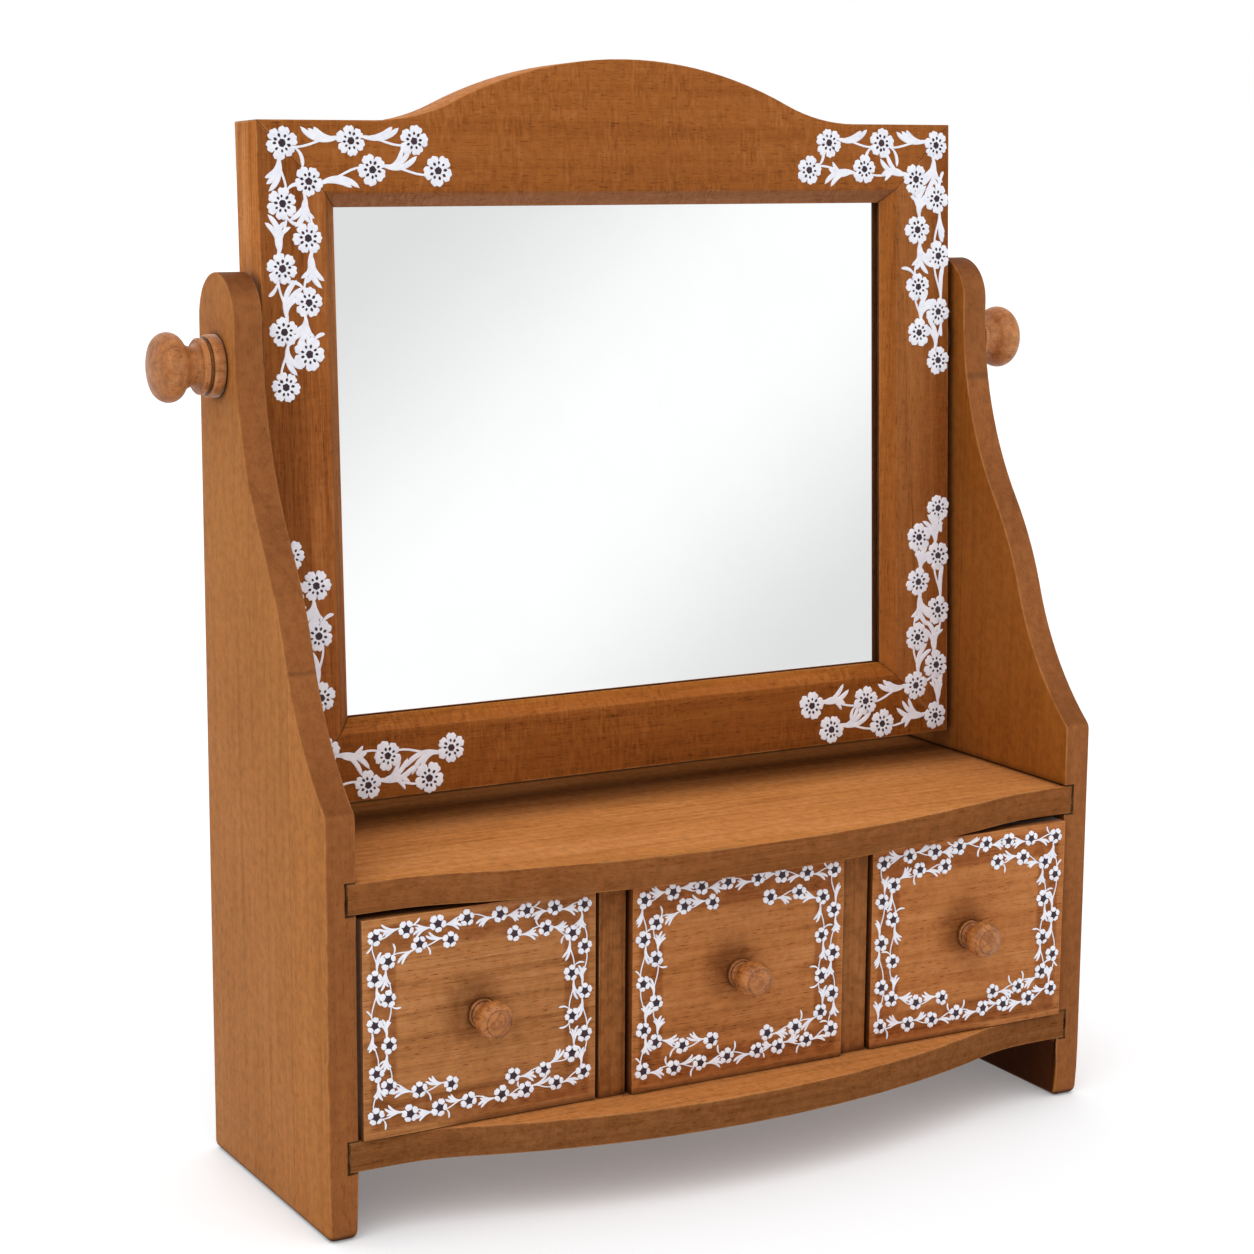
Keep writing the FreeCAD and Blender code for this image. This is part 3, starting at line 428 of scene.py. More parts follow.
# Each frame piece's chamfer tint is painted light and shade
wood("frame_top_rail", "xzy", TOP_RAIL, pith=(-0.2, 0.35), start=7.7, ring=0.011, rings=0.1, fibres=0.3,
     pores=0.3, flecks=0.8, bands=0.25, blotches=0.25, edge=FRAME_SIDE_LIGHT, end=FRAME_END,
     chamfer_shading=(0.78, 0.97, 2.2), shade=("z", -1, LIP_SHADE))
wood("frame_bottom_rail", "xzy", BOTTOM_RAIL, pith=(-0.05, 0.3), start=8.8, ring=0.007, rings=0.16,
     fibres=0.45, pores=0.3, flecks=0.8, bands=0.3, edge=FRAME_SIDE_LIGHT, chamfer_shading=(1.13, 1.12, 1.42))
# The stiles' outer parts darken with painted shade beside the side panels
wood("frame_left_stile", "zxy", LEFT_STILE, pith=(0.22, 0.06), start=9.9, ring=0.0048, rings=0.2, fibres=0.8,
     flecks=0.3, bands=0.3, edge=FRAME_SIDE_LIGHT, chamfer_shading=(0.72, 0.75, 0.84), shade=("x", 1, LIP_SHADE),
     shade_along=("x", -0.162, -0.164, (0.75, 0.71, 0.63)))
wood("frame_right_stile", "zxy", RIGHT_STILE, pith=(-0.12, 0.05), start=11.2, ring=0.0052, rings=0.12,
     flecks=0.3, blotches=0.35, edge=FRAME_SIDE_LIGHT, chamfer_shading=(0.88, 0.79, 0.64), shade=("x", -1, LIP_SHADE),
     shade_along=("x", 0.16, 0.181, (0.7, 0.58, 0.4)))

BORDER_NEAR, BORDER_FAR = 0.0025, 0.0165
# Each drawer knob gets a painted shadow, centred this far to its left and up
KNOB_SHADOW_ASIDE = 0.0045
KNOB_LINE = 0.0058
for place, side in enumerate(DRAWERS):
    start = 13.0 + 2.3 * place
    knob_low, knob_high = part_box(f"{side}_drawer_knob")
    knob_middle = (knob_low + knob_high) / 2
    front_low, front_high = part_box(f"{side}_drawer_front")
    wood(f"{side}_drawer_front", "xzy", FRONTS[side], pith=(-0.07 - 0.02 * place, 0.09 + 0.015 * place),
         start=start, ring=0.0055, wander=0.024, rings=0.2, fibres=0.65, pores=0.36, mottle=0.1,
         edge=FRONT_EDGE, knob_shadow=(knob_middle.x - KNOB_SHADOW_ASIDE, knob_high.y, knob_middle.z + KNOB_SHADOW_ASIDE),
         border=((front_low + front_high) / 2, (front_high - front_low) / 2, BORDER_NEAR, BORDER_FAR))
    for board, order, later in (("left_side", "yzx", 0.5), ("right_side", "yzx", 0.9), ("back", "xzy", 1.3)):
        wood(f"{side}_drawer_{board}", order, RAW, start=start + later, wear=0.2)
    wood(f"{side}_drawer_bottom", "xyz", RAW, pith=(0.03, 0.35), start=start + 1.7, ring=0.012, rings=0.25,
         wear=0.1)
    wood(f"{side}_drawer_knob", "yzx", KNOB, pith=(0.004 * place, 0.03), start=start, ring=0.0021, rings=0.3,
         fibres=0.3, pores=0.5, flecks=0.4, blotches=1.2, mottle=0.3, nicks=0.6, edge=PLAIN,
         end=(0.96, 0.93, 0.9), rough=0.3, gloss=0.3, wear=0.2, groove=(knob_middle, KNOB_LINE))
for place, side in enumerate(SIDES):
    wood(f"{side}_pivot_knob", "xzy", PIVOT_KNOB, pith=(-0.3 + 0.01 * place, -0.02), start=21.0 + place,
         ring=0.0025, rings=0.0, fibres=0.35, pores=0.5, flecks=0.5, blotches=1.3, mottle=0.22, nicks=0.8,
         edge=PLAIN, end=(0.96, 0.95, 0.94), rough=0.4, gloss=0.2, wear=0.3)
wood("back_panel", "xzy", RAW, pith=(0.0, 0.5), start=24.0, ring=0.014, rings=0.3, fibres=0.4, edge=BACK_EDGE,
     wear=0.0, gloss=0.0)


def fibreboard(name):
    """Brown hardboard: matted fibres in every direction, smooth on the side that shows."""
    made, tree, shader = material(name)
    place = tree.on_object()
    fine = tree.noise(place, 900, 4, 0.7)
    wide = tree.noise(place, 35, 3, 0.6)
    tone = tree.math("ADD", tree.times(fine, 0.8), tree.times(wide, 0.2))
    colour = tree.mix(tree.ramp(tone, 0.32, 0.68), srgb(86, 58, 36), srgb(136, 98, 62))
    tree.feed(shader, {"Base Color": colour, "Roughness": tree.ramp(fine, 0.3, 0.7, 0.75, 0.6),
                       "Normal": tree.bump(fine, 0.0001, 0.6)})
    return made


def metal(name, colour, rough, thread=0.0):
    """Drawn or turned metal with fine scratches along X, or with thread ridges of a given pitch."""
    made, tree, shader = material(name)
    place = tree.on_object()
    scratch = tree.noise(place, (120, 4200, 4200), 3, 0.6)
    stain = tree.ramp(tree.noise(place, 260, 3, 0.6), 0.45, 0.8)
    height, depth = scratch, 0.00002
    if thread:
        ridge = tree.math("PINGPONG", tree.split(place)[0], thread / 2)
        height, depth = tree.math("DIVIDE", ridge, thread / 2), 0.4 * thread
    tree.feed(shader, {"Base Color": tree.mix(stain, srgb(*colour), srgb(*(0.62 * part for part in colour))),
                       "Roughness": tree.ramp(scratch, 0.3, 0.7, rough - 0.08, rough + 0.14),
                       "Metallic": 1.0, "Normal": tree.bump(height, depth, 0.8)})
    return made


def fibre_washer(name, colour):
    """Dark pressed fibre."""
    made, tree, shader = material(name)
    place = tree.on_object()
    speck = tree.noise(place, 1600, 3, 0.6)
    cloud = tree.ramp(tree.noise(place, 140), 0.3, 0.7)
    tree.feed(shader, {"Base Color": tree.mix(cloud, srgb(*colour), srgb(*(0.93 * part for part in colour))),
                       "Roughness": tree.ramp(speck, 0.3, 0.7, 0.5, 0.65),
                       "Specular IOR Level": 0.1, "Normal": tree.bump(speck, 0.00003, 0.5)})
    return made


dress("mirror_backing_board", fibreboard("backing_hardboard"))
STEEL = metal("bright_steel", (190, 188, 184), 0.32)
THREADED = metal("threaded_steel", (176, 174, 170), 0.3, thread=0.001)
BRASS = metal("insert_brass", (201, 160, 88), 0.34, thread=0.0016)
WASHER = fibre_washer("washer_fibre", (58, 38, 26))
for name in ("backing_points", "back_panel_pins", *(f"{side}_drawer_knob_screw" for side in DRAWERS)):
    dress(name, STEEL)
for side in SIDES:
    dress(f"{side}_pivot_stud", THREADED)
    dress(f"{side}_pivot_insert", BRASS)
    dress(f"{side}_spacer_washer", WASHER)


# The mirror frame's own directions: it leans back about the line through the two knobs
TILT = math.radians(2.3)
PIVOT = Vector((0, 60.8, 364.5)) * MM
FRAME_ACROSS = Vector((1, 0, 0))
FRAME_UP = Vector((0, math.sin(TILT), math.cos(TILT)))
FRAME_BACK = Vector((0, math.cos(TILT), -math.sin(TILT)))


def span(node, direction):
    """How far a node reaches from the swing axis along a direction, lowest and highest, in millimetres."""
    reach = [(vertex.co - PIVOT).dot(direction) / MM for vertex in nodes[node].data.vertices]
    return min(reach), max(reach)


def on_frame(across, up, back):
    return PIVOT + (FRAME_ACROSS * across + FRAME_UP * up + FRAME_BACK * back) * MM


SIGHT_HALF, FRAME_HALF = span("frame_right_stile", FRAME_ACROSS)
FRAME_LOW, FRAME_TOP = span("frame_right_stile", FRAME_UP)
FRAME_FACE = span("frame_right_stile", FRAME_BACK)[0]
SIGHT_HIGH = span("frame_top_rail", FRAME_UP)[0]
SIGHT_LOW = span("frame_bottom_rail", FRAME_UP)[1]


def add_object(name, data):
    made = bpy.data.objects.new(name, data)
    bpy.context.scene.collection.objects.link(made)
    return made


def add_piece(name, mesh, made):
    """An object made from a bmesh, with its faces turned outwards."""
    bmesh.ops.recalc_face_normals(mesh, faces=mesh.faces)
    data = bpy.data.meshes.new(name)
    mesh.to_mesh(data)
    mesh.free()
    data.materials.append(made)
    return add_object(name, data)


def corners_of(half, low, high):
    return (-half, low), (half, low), (half, high), (-half, high)


def add_sheet(name, corners):
    data = bpy.data.meshes.new(name)
    data.from_pydata(corners, [], [(0, 1, 2, 3)])
    return add_object(name, data)


def silvered_glass():
    """Silvering seen through glass: bright, with a faint haze."""
    made, tree, shader = material("silvered_glass")
    haze = tree.noise(tree.on_object(), 26, 4, 0.65)
    colour = tree.mix(tree.ramp(haze, 0.3, 0.8), (0.94, 0.945, 0.945, 1), (0.925, 0.93, 0.932, 1))
    rough = tree.ramp(haze, 0.35, 0.75, 0.012, 0.04)
    tree.feed(shader, {"Base Color": colour, "Roughness": rough, "Metallic": 1.0})
    return made


GLASS_DEPTH, GROUND_EDGE = 1.8, 0.6


def mirror_pane():
    """The silvered layer of the mirror glass, as deep in the rebate as it looks through the glass, with
    ground edges. The dark rebate shows beside it from aslant."""
    half = span("mirror_glass", FRAME_ACROSS)[1]
    low, high = span("mirror_glass", FRAME_UP)
    front, back = span("mirror_glass", FRAME_BACK)
    front += GLASS_DEPTH
    mesh = bmesh.new()
    loops = []
    for inset, level in ((GROUND_EDGE, front), (0, front + GROUND_EDGE / 2), (0, back)):
        corners = corners_of(half - inset, low + inset, high - inset)
        loops.append([mesh.verts.new(on_frame(x, z, level)) for x, z in corners])
    mesh.faces.new(loops[0])
    mesh.faces.new(list(reversed(loops[2])))
    for outer, inner in zip(loops, loops[1:]):
        for place in range(4):
            after = (place + 1) % 4
            mesh.faces.new((outer[place], inner[place], inner[after], outer[after]))
    pane = add_piece("mirror_pane", mesh, silvered_glass())
    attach(pane, "mirror")
    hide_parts("mirror_glass")


mirror_pane()
for side in SIDES:
    nodes[f"{side}_side_panel"].visible_glossy = False


def geometry_group(name):
    group = bpy.data.node_groups.new(name, "GeometryNodeTree")
    sockets(group, "INPUT", "Geometry", ("Geometry",))
    sockets(group, "OUTPUT", "Geometry", ("Geometry",))
    tree = Nodes(group)
    angle = tree.new("GeometryNodeInputMeshEdgeAngle").outputs["Unsigned Angle"]
    return group, tree, tree.new("NodeGroupInput").outputs[0], angle


def smooth_by_angle():
    """Shades smooth across edges flatter than 30 degrees."""
    group, tree, given, angle = geometry_group("smooth_by_angle")
    shaded = tree.new("GeometryNodeRemoveAttribute", {"Geometry": given, "Name": "custom_normal"}).outputs[0]
    soft = tree.new("FunctionNodeCompare", {0: angle, 1: math.radians(30)}, data_type="FLOAT",
                    operation="LESS_THAN").outputs[0]
    for domain, smooth in (("FACE", True), ("EDGE", soft)):
        shading = {"Geometry": shaded, "Shade Smooth": smooth}
        shaded = tree.new("GeometryNodeSetShadeSmooth", shading, domain=domain).outputs[0]
    tree.new("NodeGroupOutput", {"Geometry": shaded})
    return group


SMOOTH = smooth_by_angle()
SHARP = math.radians(32)
FOOT_HEIGHT, FOOT_ROUND, PANEL_SHARE = 0.0045, 0.003, 0.2


def foot_weights():
    """Marks how far a side panel's sharp edges are broken: fully round the foot, by a share elsewhere."""
    group, tree, given, angle = geometry_group("feet")
    ends = tree.new("GeometryNodeInputMeshEdgeVertices").outputs
    low = [tree.math("LESS_THAN", tree.split(ends[f"Position {end}"])[2], FOOT_HEIGHT) for end in (1, 2)]
    share = tree.math("MULTIPLY_ADD", tree.times(*low), 1.0 - PANEL_SHARE, PANEL_SHARE)
    weight = tree.times(tree.math("GREATER_THAN", angle, SHARP), share)
    marked = tree.new("GeometryNodeStoreNamedAttribute",
                      {"Geometry": given, "Name": "bevel_weight_edge", "Value": weight},
                      data_type="FLOAT", domain="EDGE").outputs[0]
    tree.new("NodeGroupOutput", {"Geometry": marked})
    return group


def shade_smooth(piece):
    piece.modifiers.new("shading", "NODES").node_group = SMOOTH


def ease(node, width, segments, weights=None):
    """Breaks a board's sharp edges by a given width, or by weights of it."""
    piece = nodes[node]
    piece.modifiers.new("weld", "WELD").merge_threshold = 0.00001
    whole = piece.modifiers.new("whole_faces", "DECIMATE")
    whole.decimate_type = "DISSOLVE"
    whole.angle_limit = math.radians(0.4)
    if weights is not None:
        piece.modifiers.new("weights", "NODES").node_group = weights
    bevel = piece.modifiers.new("eased_edges", "BEVEL")
    bevel.width = width
    bevel.segments = segments
    bevel.limit_method = "ANGLE" if weights is None else "WEIGHT"
    bevel.use_clamp_overlap = weights is None
    bevel.angle_limit = SHARP
    shade_smooth(piece)


FEET = foot_weights()
for side in SIDES:
    ease(f"{side}_side_panel", FOOT_ROUND, 4, FEET)
EASED = {0.0006: ["shelf_board", "base_board"],
         0.0005: ["left_divider", "right_divider", "frame_top_rail", "frame_bottom_rail", "frame_left_stile",
                  "frame_right_stile", *(f"{side}_drawer_front" for side in DRAWERS)]}
for width, names in EASED.items():
    for name in names:
        ease(name, width, 2)


def point_at(x, y, angle, length):
    return x + length * math.cos(angle), y + length * math.sin(angle)


class Brush:
    """Paint on one flat face. Flowers, stems and leaves are closed shells that stand a little proud of the
    wood, in millimetres to the right of and above an origin. inside says which points are on the face."""

    SUNK = -0.06
    LEANINGS = (1.0, 0.75, 0.5, 0.25, 0.0)
    # A petal from rim to middle: share of its reach, height, and depth of the groove between two petals
    PETAL = ((1.0, SUNK, 0.0), (0.97, 0.32, 0.0), (0.86, 0.46, 0.12), (0.45, 0.52, 0.18), (0.1, 0.5, 0.0))
    PETAL_STEPS = 16
    # A dark blot from rim to middle: share of its size, and height
    BLOT = ((1.0, 0.3), (0.95, 0.57), (0.5, 0.6))
    # A stroke from side to side: share of its width, and share of its height, with none for a sunken rim
    STROKE = ((1, None), (0.88, 0.8), (0.5, 1), (0.12, 0.8), (0, None))
    STEM_END = 0.7

    def __init__(self, name, origin, right, up, body, inside):
        self.name, self.body, self.inside = name, body, inside
        self.origin, self.right, self.up = Vector(origin), Vector(right), Vector(up)
        self.out = self.right.cross(self.up)
        self.meshes = {layer: bmesh.new() for layer in ("white", "dark")}
        self.chance = random.Random(name)

    def vertex(self, layer, x, y, height):
        offset = self.right * x + self.up * y + self.out * height
        return self.meshes[layer].verts.new(self.origin + offset * MM)

    def loops(self, layer, rings):
        """Skin between rings of points, each with its height, and a face over the first and the last."""
        faces = self.meshes[layer].faces
        made = [[self.vertex(layer, *point) for point in ring] for ring in rings]
        count = len(made[0])
        for near, far in zip(made, made[1:]):
            for place in range(count):
                after = (place + 1) % count
                faces.new((near[place], near[after], far[after], far[place]))
        faces.new(list(reversed(made[0])))
        faces.new(made[-1])

    def flower(self, x, y, radius, style):
        """Broad petals, frilled along their rims and grooved where they meet, round a dark middle."""
        petals = self.chance.choice(style["petals"])
        turn = self.chance.uniform(0, math.tau)
        each = self.PETAL_STEPS
        size_of = [self.chance.uniform(0.76, 1.08) for _ in range(petals)]
        frill_of = [self.chance.uniform(0, math.tau) for _ in range(petals)]
        cleft = style["cleft"]

        def ring(share, height, groove):
            made = []
            for place in range(petals * each):
                angle = turn + math.tau * place / (petals * each)
                petal, step = divmod(place, each)
                within = step / each
                side = abs(2 * within - 1)
                frill = style["frill"] * math.cos(3 * math.tau * within + frill_of[petal]) * (1 - side)
                lobe = (1 - side ** style["broad"]) ** 0.55
                reach = cleft + (1 - cleft) * size_of[petal] * lobe + frill
                reach = 1 + (reach - 1) * min(1, 1.1 * share * share)
                made.append((*point_at(x, y, angle, radius * reach * share), height - groove * side ** 5))
            return made

        self.loops("white", [ring(*level) for level in self.PETAL])
        long, short = style["core"]
        self.blot(x, y, [radius * self.chance.uniform(0.9, 1.06) * (long if place % 4 == 0 else short)
                         for place in range(4 * petals)], turn)
        dots = style["dots"]
        start = self.chance.uniform(0, math.tau)
        for place in range(dots):
            angle = start + math.tau * (place + self.chance.uniform(-0.14, 0.14)) / dots
            reach = radius * (long + self.chance.uniform(0.17, 0.22))
            size = radius * self.chance.uniform(0.085, 0.115)
            self.blot(*point_at(x, y, angle, reach),
                      [size * (1.3 if spoke % 4 == 0 else 0.9) for spoke in range(8)], angle)

    def blot(self, x, y, spokes, turn):
        """A dark shell with a given reach along each of its spokes."""
        rings = []
        for share, height in self.BLOT:
            rings.append([(*point_at(x, y, turn + math.tau * place / len(spokes), share * reach), height)
                          for place, reach in enumerate(spokes)])
        self.loops("dark", rings)

    @staticmethod
    def along(curve, t):
        """The point of a cubic curve at a share of its length, and the direction to its left."""
        weights = ((1 - t) ** 3, 3 * t * (1 - t) ** 2, 3 * t * t * (1 - t), t ** 3)
        slopes = ((1 - t) ** 2, 2 * t * (1 - t), t * t)
        spot = [sum(weight * point[k] for weight, point in zip(weights, curve)) for k in (0, 1)]
        ahead = [sum(slope * (after[k] - before[k]) for slope, before, after in zip(slopes, curve, curve[1:]))
                 for k in (0, 1)]
        length = math.hypot(*ahead)
        return spot, (-ahead[1] / length, ahead[0] / length)

    def ribbon(self, curve, half, steps, height):
        """Paint along a cubic curve, of half a width that changes along its length."""
        rings = []
        for place in range(steps + 1):
            t = place / steps
            spot, left = self.along(curve, t)
            reach = half(t)
            width = 2 * reach
            rise = min(height, 0.6 * width)
            ring = []
            for share, level in self.STROKE:
                offset = width * share - reach
                ring.append((spot[0] + left[0] * offset, spot[1] + left[1] * offset,
                             self.SUNK if level is None else rise * level))
            rings.append(ring)
        self.loops("white", rings)

    def stem(self, curve, width):
        """A line that is fullest in its middle."""
        def half(t):
            return width / 2 * (self.STEM_END + (1 - self.STEM_END) * math.sin(math.pi * t) ** 0.7)

        self.ribbon(curve, half, 12, 0.36)

    def stroke(self, curve, width):
        """A brush stroke: thin at its root and fullest near its end."""
        def half(t):
            return 0.03 + width * (0.13 * (1 - t) + 0.67 * t ** 0.9 * (1 - t ** 7) ** 0.7)

        self.ribbon(curve, half, 14, 0.38)

    def spray(self, x, y, heading, lean, length, curl, breadth):
        """A curve that leaves a stem to one side. It leans less where it would leave the face."""
        for share in self.LEANINGS:
            turned = heading + lean * share
            ahead = (math.cos(turned), math.sin(turned))
            points = []
            for run, aside in ((0, 0), (0.35, -0.16), (0.75, 0.1), (1, 1)):
                offset = aside * curl * share
                points.append((x + length * (ahead[0] * run - ahead[1] * offset),
                               y + length * (ahead[1] * run + ahead[0] * offset)))
            reach = []
            for t in (0.3, 0.6, 0.85, 1.0):
                spot, left = self.along(points, t)
                for side in (-breadth, breadth):
                    reach.append((spot[0] + side * left[0], spot[1] + side * left[1]))
            if all(self.inside(*point) for point in reach):
                break
        return points

    def fan(self, x, y, heading, side, length, strokes, width, style):
        """A leaf in a few strokes that open to one side, each from a little further along the stem."""
        lean_first, lean_step = style["lean"]
        curl_first, curl_step = style["curl"]
        for place in range(strokes):
            lean = side * (lean_first + lean_step * place)
            curl = side * (curl_first + curl_step * place)
            root = point_at(x, y, heading, style["step"] * place * length)
            curve = self.spray(*root, heading, lean, length * (1 - 0.2 * place), curl, 0.5 * width)
            self.stroke(curve, width * (1.15 - 0.1 * place))

    def row(self, spots, style):
        """Stems that wave from flower to flower, with leaves to one side or both, and some tendrils."""
        radius, stroke = style["radius"], style["stroke"]
        for place, (here, there) in enumerate(zip(spots, spots[1:])):
            if self.chance.random() < 0.5:
                here, there = there, here
            run = (there[0] - here[0], there[1] - here[1])
            gap = math.hypot(*run)
            heading = math.atan2(run[1], run[0])
            side = 1 if place % 2 else -1
            wave = side * style["sway"] / gap

            def at(along, aside):
                return (here[0] + run[0] * along - run[1] * aside, here[1] + run[1] * along + run[0] * aside)

            stem = (here, at(0.32, 1.5 * wave), at(0.68, -1.5 * wave), there)
            self.stem(stem, style["stem"])
            foot = min(0.4, 0.7 * radius / gap)
            long = min(style["leaf"], gap * (1 - foot) - 0.7 * radius) * self.chance.uniform(0.92, 1.08)
            root = self.along(stem, foot)[0]
            self.fan(*root, heading, side, long, self.chance.choice(style["strokes"]), stroke, style)
            if self.chance.random() < style["leafy"]:
                higher = self.along(stem, foot + 0.1)[0]
                self.fan(*higher, heading, -side, 0.7 * long, 2, 0.85 * stroke, style)
            if self.chance.random() < style["tendrils"]:
                tip = self.along(stem, 1 - foot)[0]
                lean = side * self.chance.uniform(0.5, 0.8)
                curve = self.spray(*tip, heading + math.pi, lean, 0.5 * long, side * 0.6, style["stem"])
                self.stroke(curve, 0.8 * stroke)

    def flowers(self, spots, style):
        for x, y in spots:
            self.flower(x, y, style["radius"] * self.chance.uniform(0.96, 1.04), style)

    def finish(self, finishes):
        for layer, mesh in self.meshes.items():
            for face in mesh.faces:
                face.smooth = True
            piece = add_piece(f"{self.name}_{layer}", mesh, finishes[layer])
            shade_smooth(piece)
            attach(piece, self.body)


def paint(name, colour, shadow):
    """Hand-brushed paint: a slight mottle, brush drag and a soft sheen."""
    made, tree, shader = material(name)
    place = tree.on_object()
    mottle = tree.noise(place, 240, 3, 0.6)
    drag = tree.noise(place, (2600, 700, 1500), 3, 0.6)
    tone = tree.math("ADD", tree.times(mottle, 0.65), tree.times(drag, 0.35))
    tree.feed(shader, {"Base Color": tree.mix(tree.ramp(tone, 0.3, 0.66), srgb(*shadow), srgb(*colour)),
                       "Roughness": tree.ramp(drag, 0.3, 0.7, 0.42, 0.6),
                       "Specular IOR Level": 0.3, "Normal": tree.bump(tone, 0.00008, 0.6)})
    return made


FINISHES = {"white": paint("white_paint", (248, 248, 253), (232, 232, 243)),
            "dark": paint("dark_paint", (40, 24, 36), (64, 38, 42))}

# Styles of flowers and leaves, in millimetres. petals and strokes are choices of how many, core is the dark
# middle's long and short reach as shares of the radius, lean and curl are a leaf's first stroke's and what
# each next one adds, and leafy and tendrils are the chances of a second leaf and of a tendril.
SPRAY = {"radius": 7.2, "petals": (5, 6), "cleft": 0.62, "broad": 4.0, "frill": 0.05, "core": (0.27, 0.24),
         "dots": 9, "stem": 1.2, "sway": 4.5, "leaf": 17, "stroke": 2.3, "strokes": (2, 3, 3), "leafy": 0.55,
         "tendrils": 0.4, "lean": (-0.2, 0.2), "curl": (0.5, 0.11), "step": 0.07}
GARLAND = {"radius": 4.0, "petals": (5,), "cleft": 0.5, "broad": 3.0, "frill": 0.04, "core": (0.62, 0.42),
           "dots": 0, "stem": 0.6, "sway": 3.0, "leaf": 9.2, "stroke": 1.1, "strokes": (2, 2, 3),
           "leafy": 0.5, "tendrils": 0.6, "lean": (-0.08, 0.2), "curl": (0.3, 0.06), "step": 0.09}

# Corner sprays on the frame: two rows of flowers down the stile and two along the rail, from the corner
STILE_OUTER = [(11.5, 10), (11, 36), (10, 64), (10, 91.5), (10, 115.5)]
STILE_INNER = [(23.5, 26.5), (22.5, 51), (22, 79), (21.5, 101.5)]
RAIL_OUTER = [(11.5, 10), (44, 9), (74.5, 9)]
RAIL_INNER = [(23.5, 26.5), (54, 21.5), (86, 22)]
SPRAY_SPOTS = STILE_OUTER + STILE_INNER + RAIL_OUTER[1:] + RAIL_INNER[1:]
# Each corner's direction from the frame's middle, and how far its spray is shifted
CORNERS = {"top_left": ((-1, 1), (0, 0)), "top_right": ((1, 1), (-3.6, 0)),
           "low_right": ((1, -1), (-3.8, -1.6)), "low_left": ((-1, -1), (0, -2))}
FRAME_MARGIN, SIGHT_MARGIN = 1.6, 7.0


def on_frame_face(x, z):
    """Whether a point is on the flat of the frame's face, clear of its edge and of the chamfer."""
    beside = abs(x) > FRAME_HALF - FRAME_MARGIN
    inside = FRAME_LOW + FRAME_MARGIN < z < FRAME_TOP - FRAME_MARGIN and not beside
    level = SIGHT_LOW - SIGHT_MARGIN < z < SIGHT_HIGH + SIGHT_MARGIN
    opening = level and abs(x) < SIGHT_HALF + SIGHT_MARGIN
    return inside and not opening


for corner, ((across, upright), (aside, down)) in CORNERS.items():
    face = on_frame(0, 0, FRAME_FACE)
    brush = Brush(f"{corner}_spray", face, FRAME_ACROSS, FRAME_UP, "mirror", on_frame_face)
    edge = FRAME_TOP if upright > 0 else FRAME_LOW

    def spots(row):
        return [(across * (FRAME_HALF - x - aside), edge - upright * (y + down)) for x, y in row]

    for row in (STILE_OUTER, STILE_INNER, RAIL_OUTER, RAIL_INNER):
        brush.row(spots(row), SPRAY)
    brush.flowers(spots(SPRAY_SPOTS), SPRAY)
    brush.finish(FINISHES)

# Garlands on the drawer fronts: one row all round, and a second row inside it at the corners and sides
GARLAND_HEIGHT = 49.0
DRAWER_MARGIN = 1.0
TOP_ROW = [(-50, 39.8), (-35.5, 41.6), (-20.8, 42.1), (-7, 42.6), (8.8, 42.3), (21.7, 42.1), (35.3, 41.6),
           (50, 41)]
LOW_ROW = [(-50.2, -38.9), (-34.4, -40.1), (-20.5, -39.8), (-6.5, -39), (9.4, -38.8), (21.2, -38.7),
           (36.3, -38), (49.8, -35)]
LEFT_COLUMN = [(-50.3, 21.8), (-50.5, 1.5), (-50, -19.9)]
RIGHT_COLUMN = [(50.2, 22.1), (50.3, 1.8), (50.2, -17.8)]
INNER_LEFT = [(-14.9, 34.2), (-29.5, 34.4), (-44, 28.8), (-44.1, 12.2), (-43.8, -8.1), (-44, -26.4),
              (-30, -30.2), (-14.9, -30)]
INNER_RIGHT = [(15.6, 32.7), (31, 32.9), (44.1, 29), (43.7, 10.8), (44, -8.6), (43.9, -25.7), (30.2, -31),
               (15, -31.3)]
LEFT_SIDE = [TOP_ROW[0], *LEFT_COLUMN, LOW_ROW[0]]
RIGHT_SIDE = [TOP_ROW[-1], *RIGHT_COLUMN, LOW_ROW[-1]]
GARLAND_SPOTS = TOP_ROW + LOW_ROW + LEFT_COLUMN + RIGHT_COLUMN + INNER_LEFT + INNER_RIGHT
for side in DRAWERS:
    low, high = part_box(f"{side}_drawer_front")
    origin = Vector(((low.x + high.x) / 2, low.y, low.z + GARLAND_HEIGHT * MM))
    half_width = (high.x - low.x) / 2 / MM
    reach_up = (high - origin).z / MM

    def on_front(x, z):
        level = DRAWER_MARGIN - GARLAND_HEIGHT < z < reach_up - DRAWER_MARGIN
        return level and abs(x) < half_width - DRAWER_MARGIN

    brush = Brush(f"{side}_garland", origin, (1, 0, 0), (0, 0, 1), f"{side}_drawer", on_front)
    for row in (TOP_ROW, LOW_ROW, LEFT_SIDE, RIGHT_SIDE, INNER_LEFT, INNER_RIGHT):
        brush.row(row, GARLAND)
    brush.flowers(GARLAND_SPOTS, GARLAND)
    brush.finish(FINISHES)


# Stage: a pale floor, a soft white surround, three soft lights and the camera
def backdrop_strength(tree, otherwise):
    """Full strength for what the camera, mirrors and clear things see, and another for the light it sheds."""
    path = tree.new("ShaderNodeLightPath").outputs
    seen = tree.math("MAXIMUM", path["Is Camera Ray"], path["Is Glossy Ray"])
    seen = tree.math("MAXIMUM", seen, path["Is Transmission Ray"])
    return tree.math("ADD", tree.times(seen, 1.0 - otherwise), otherwise)


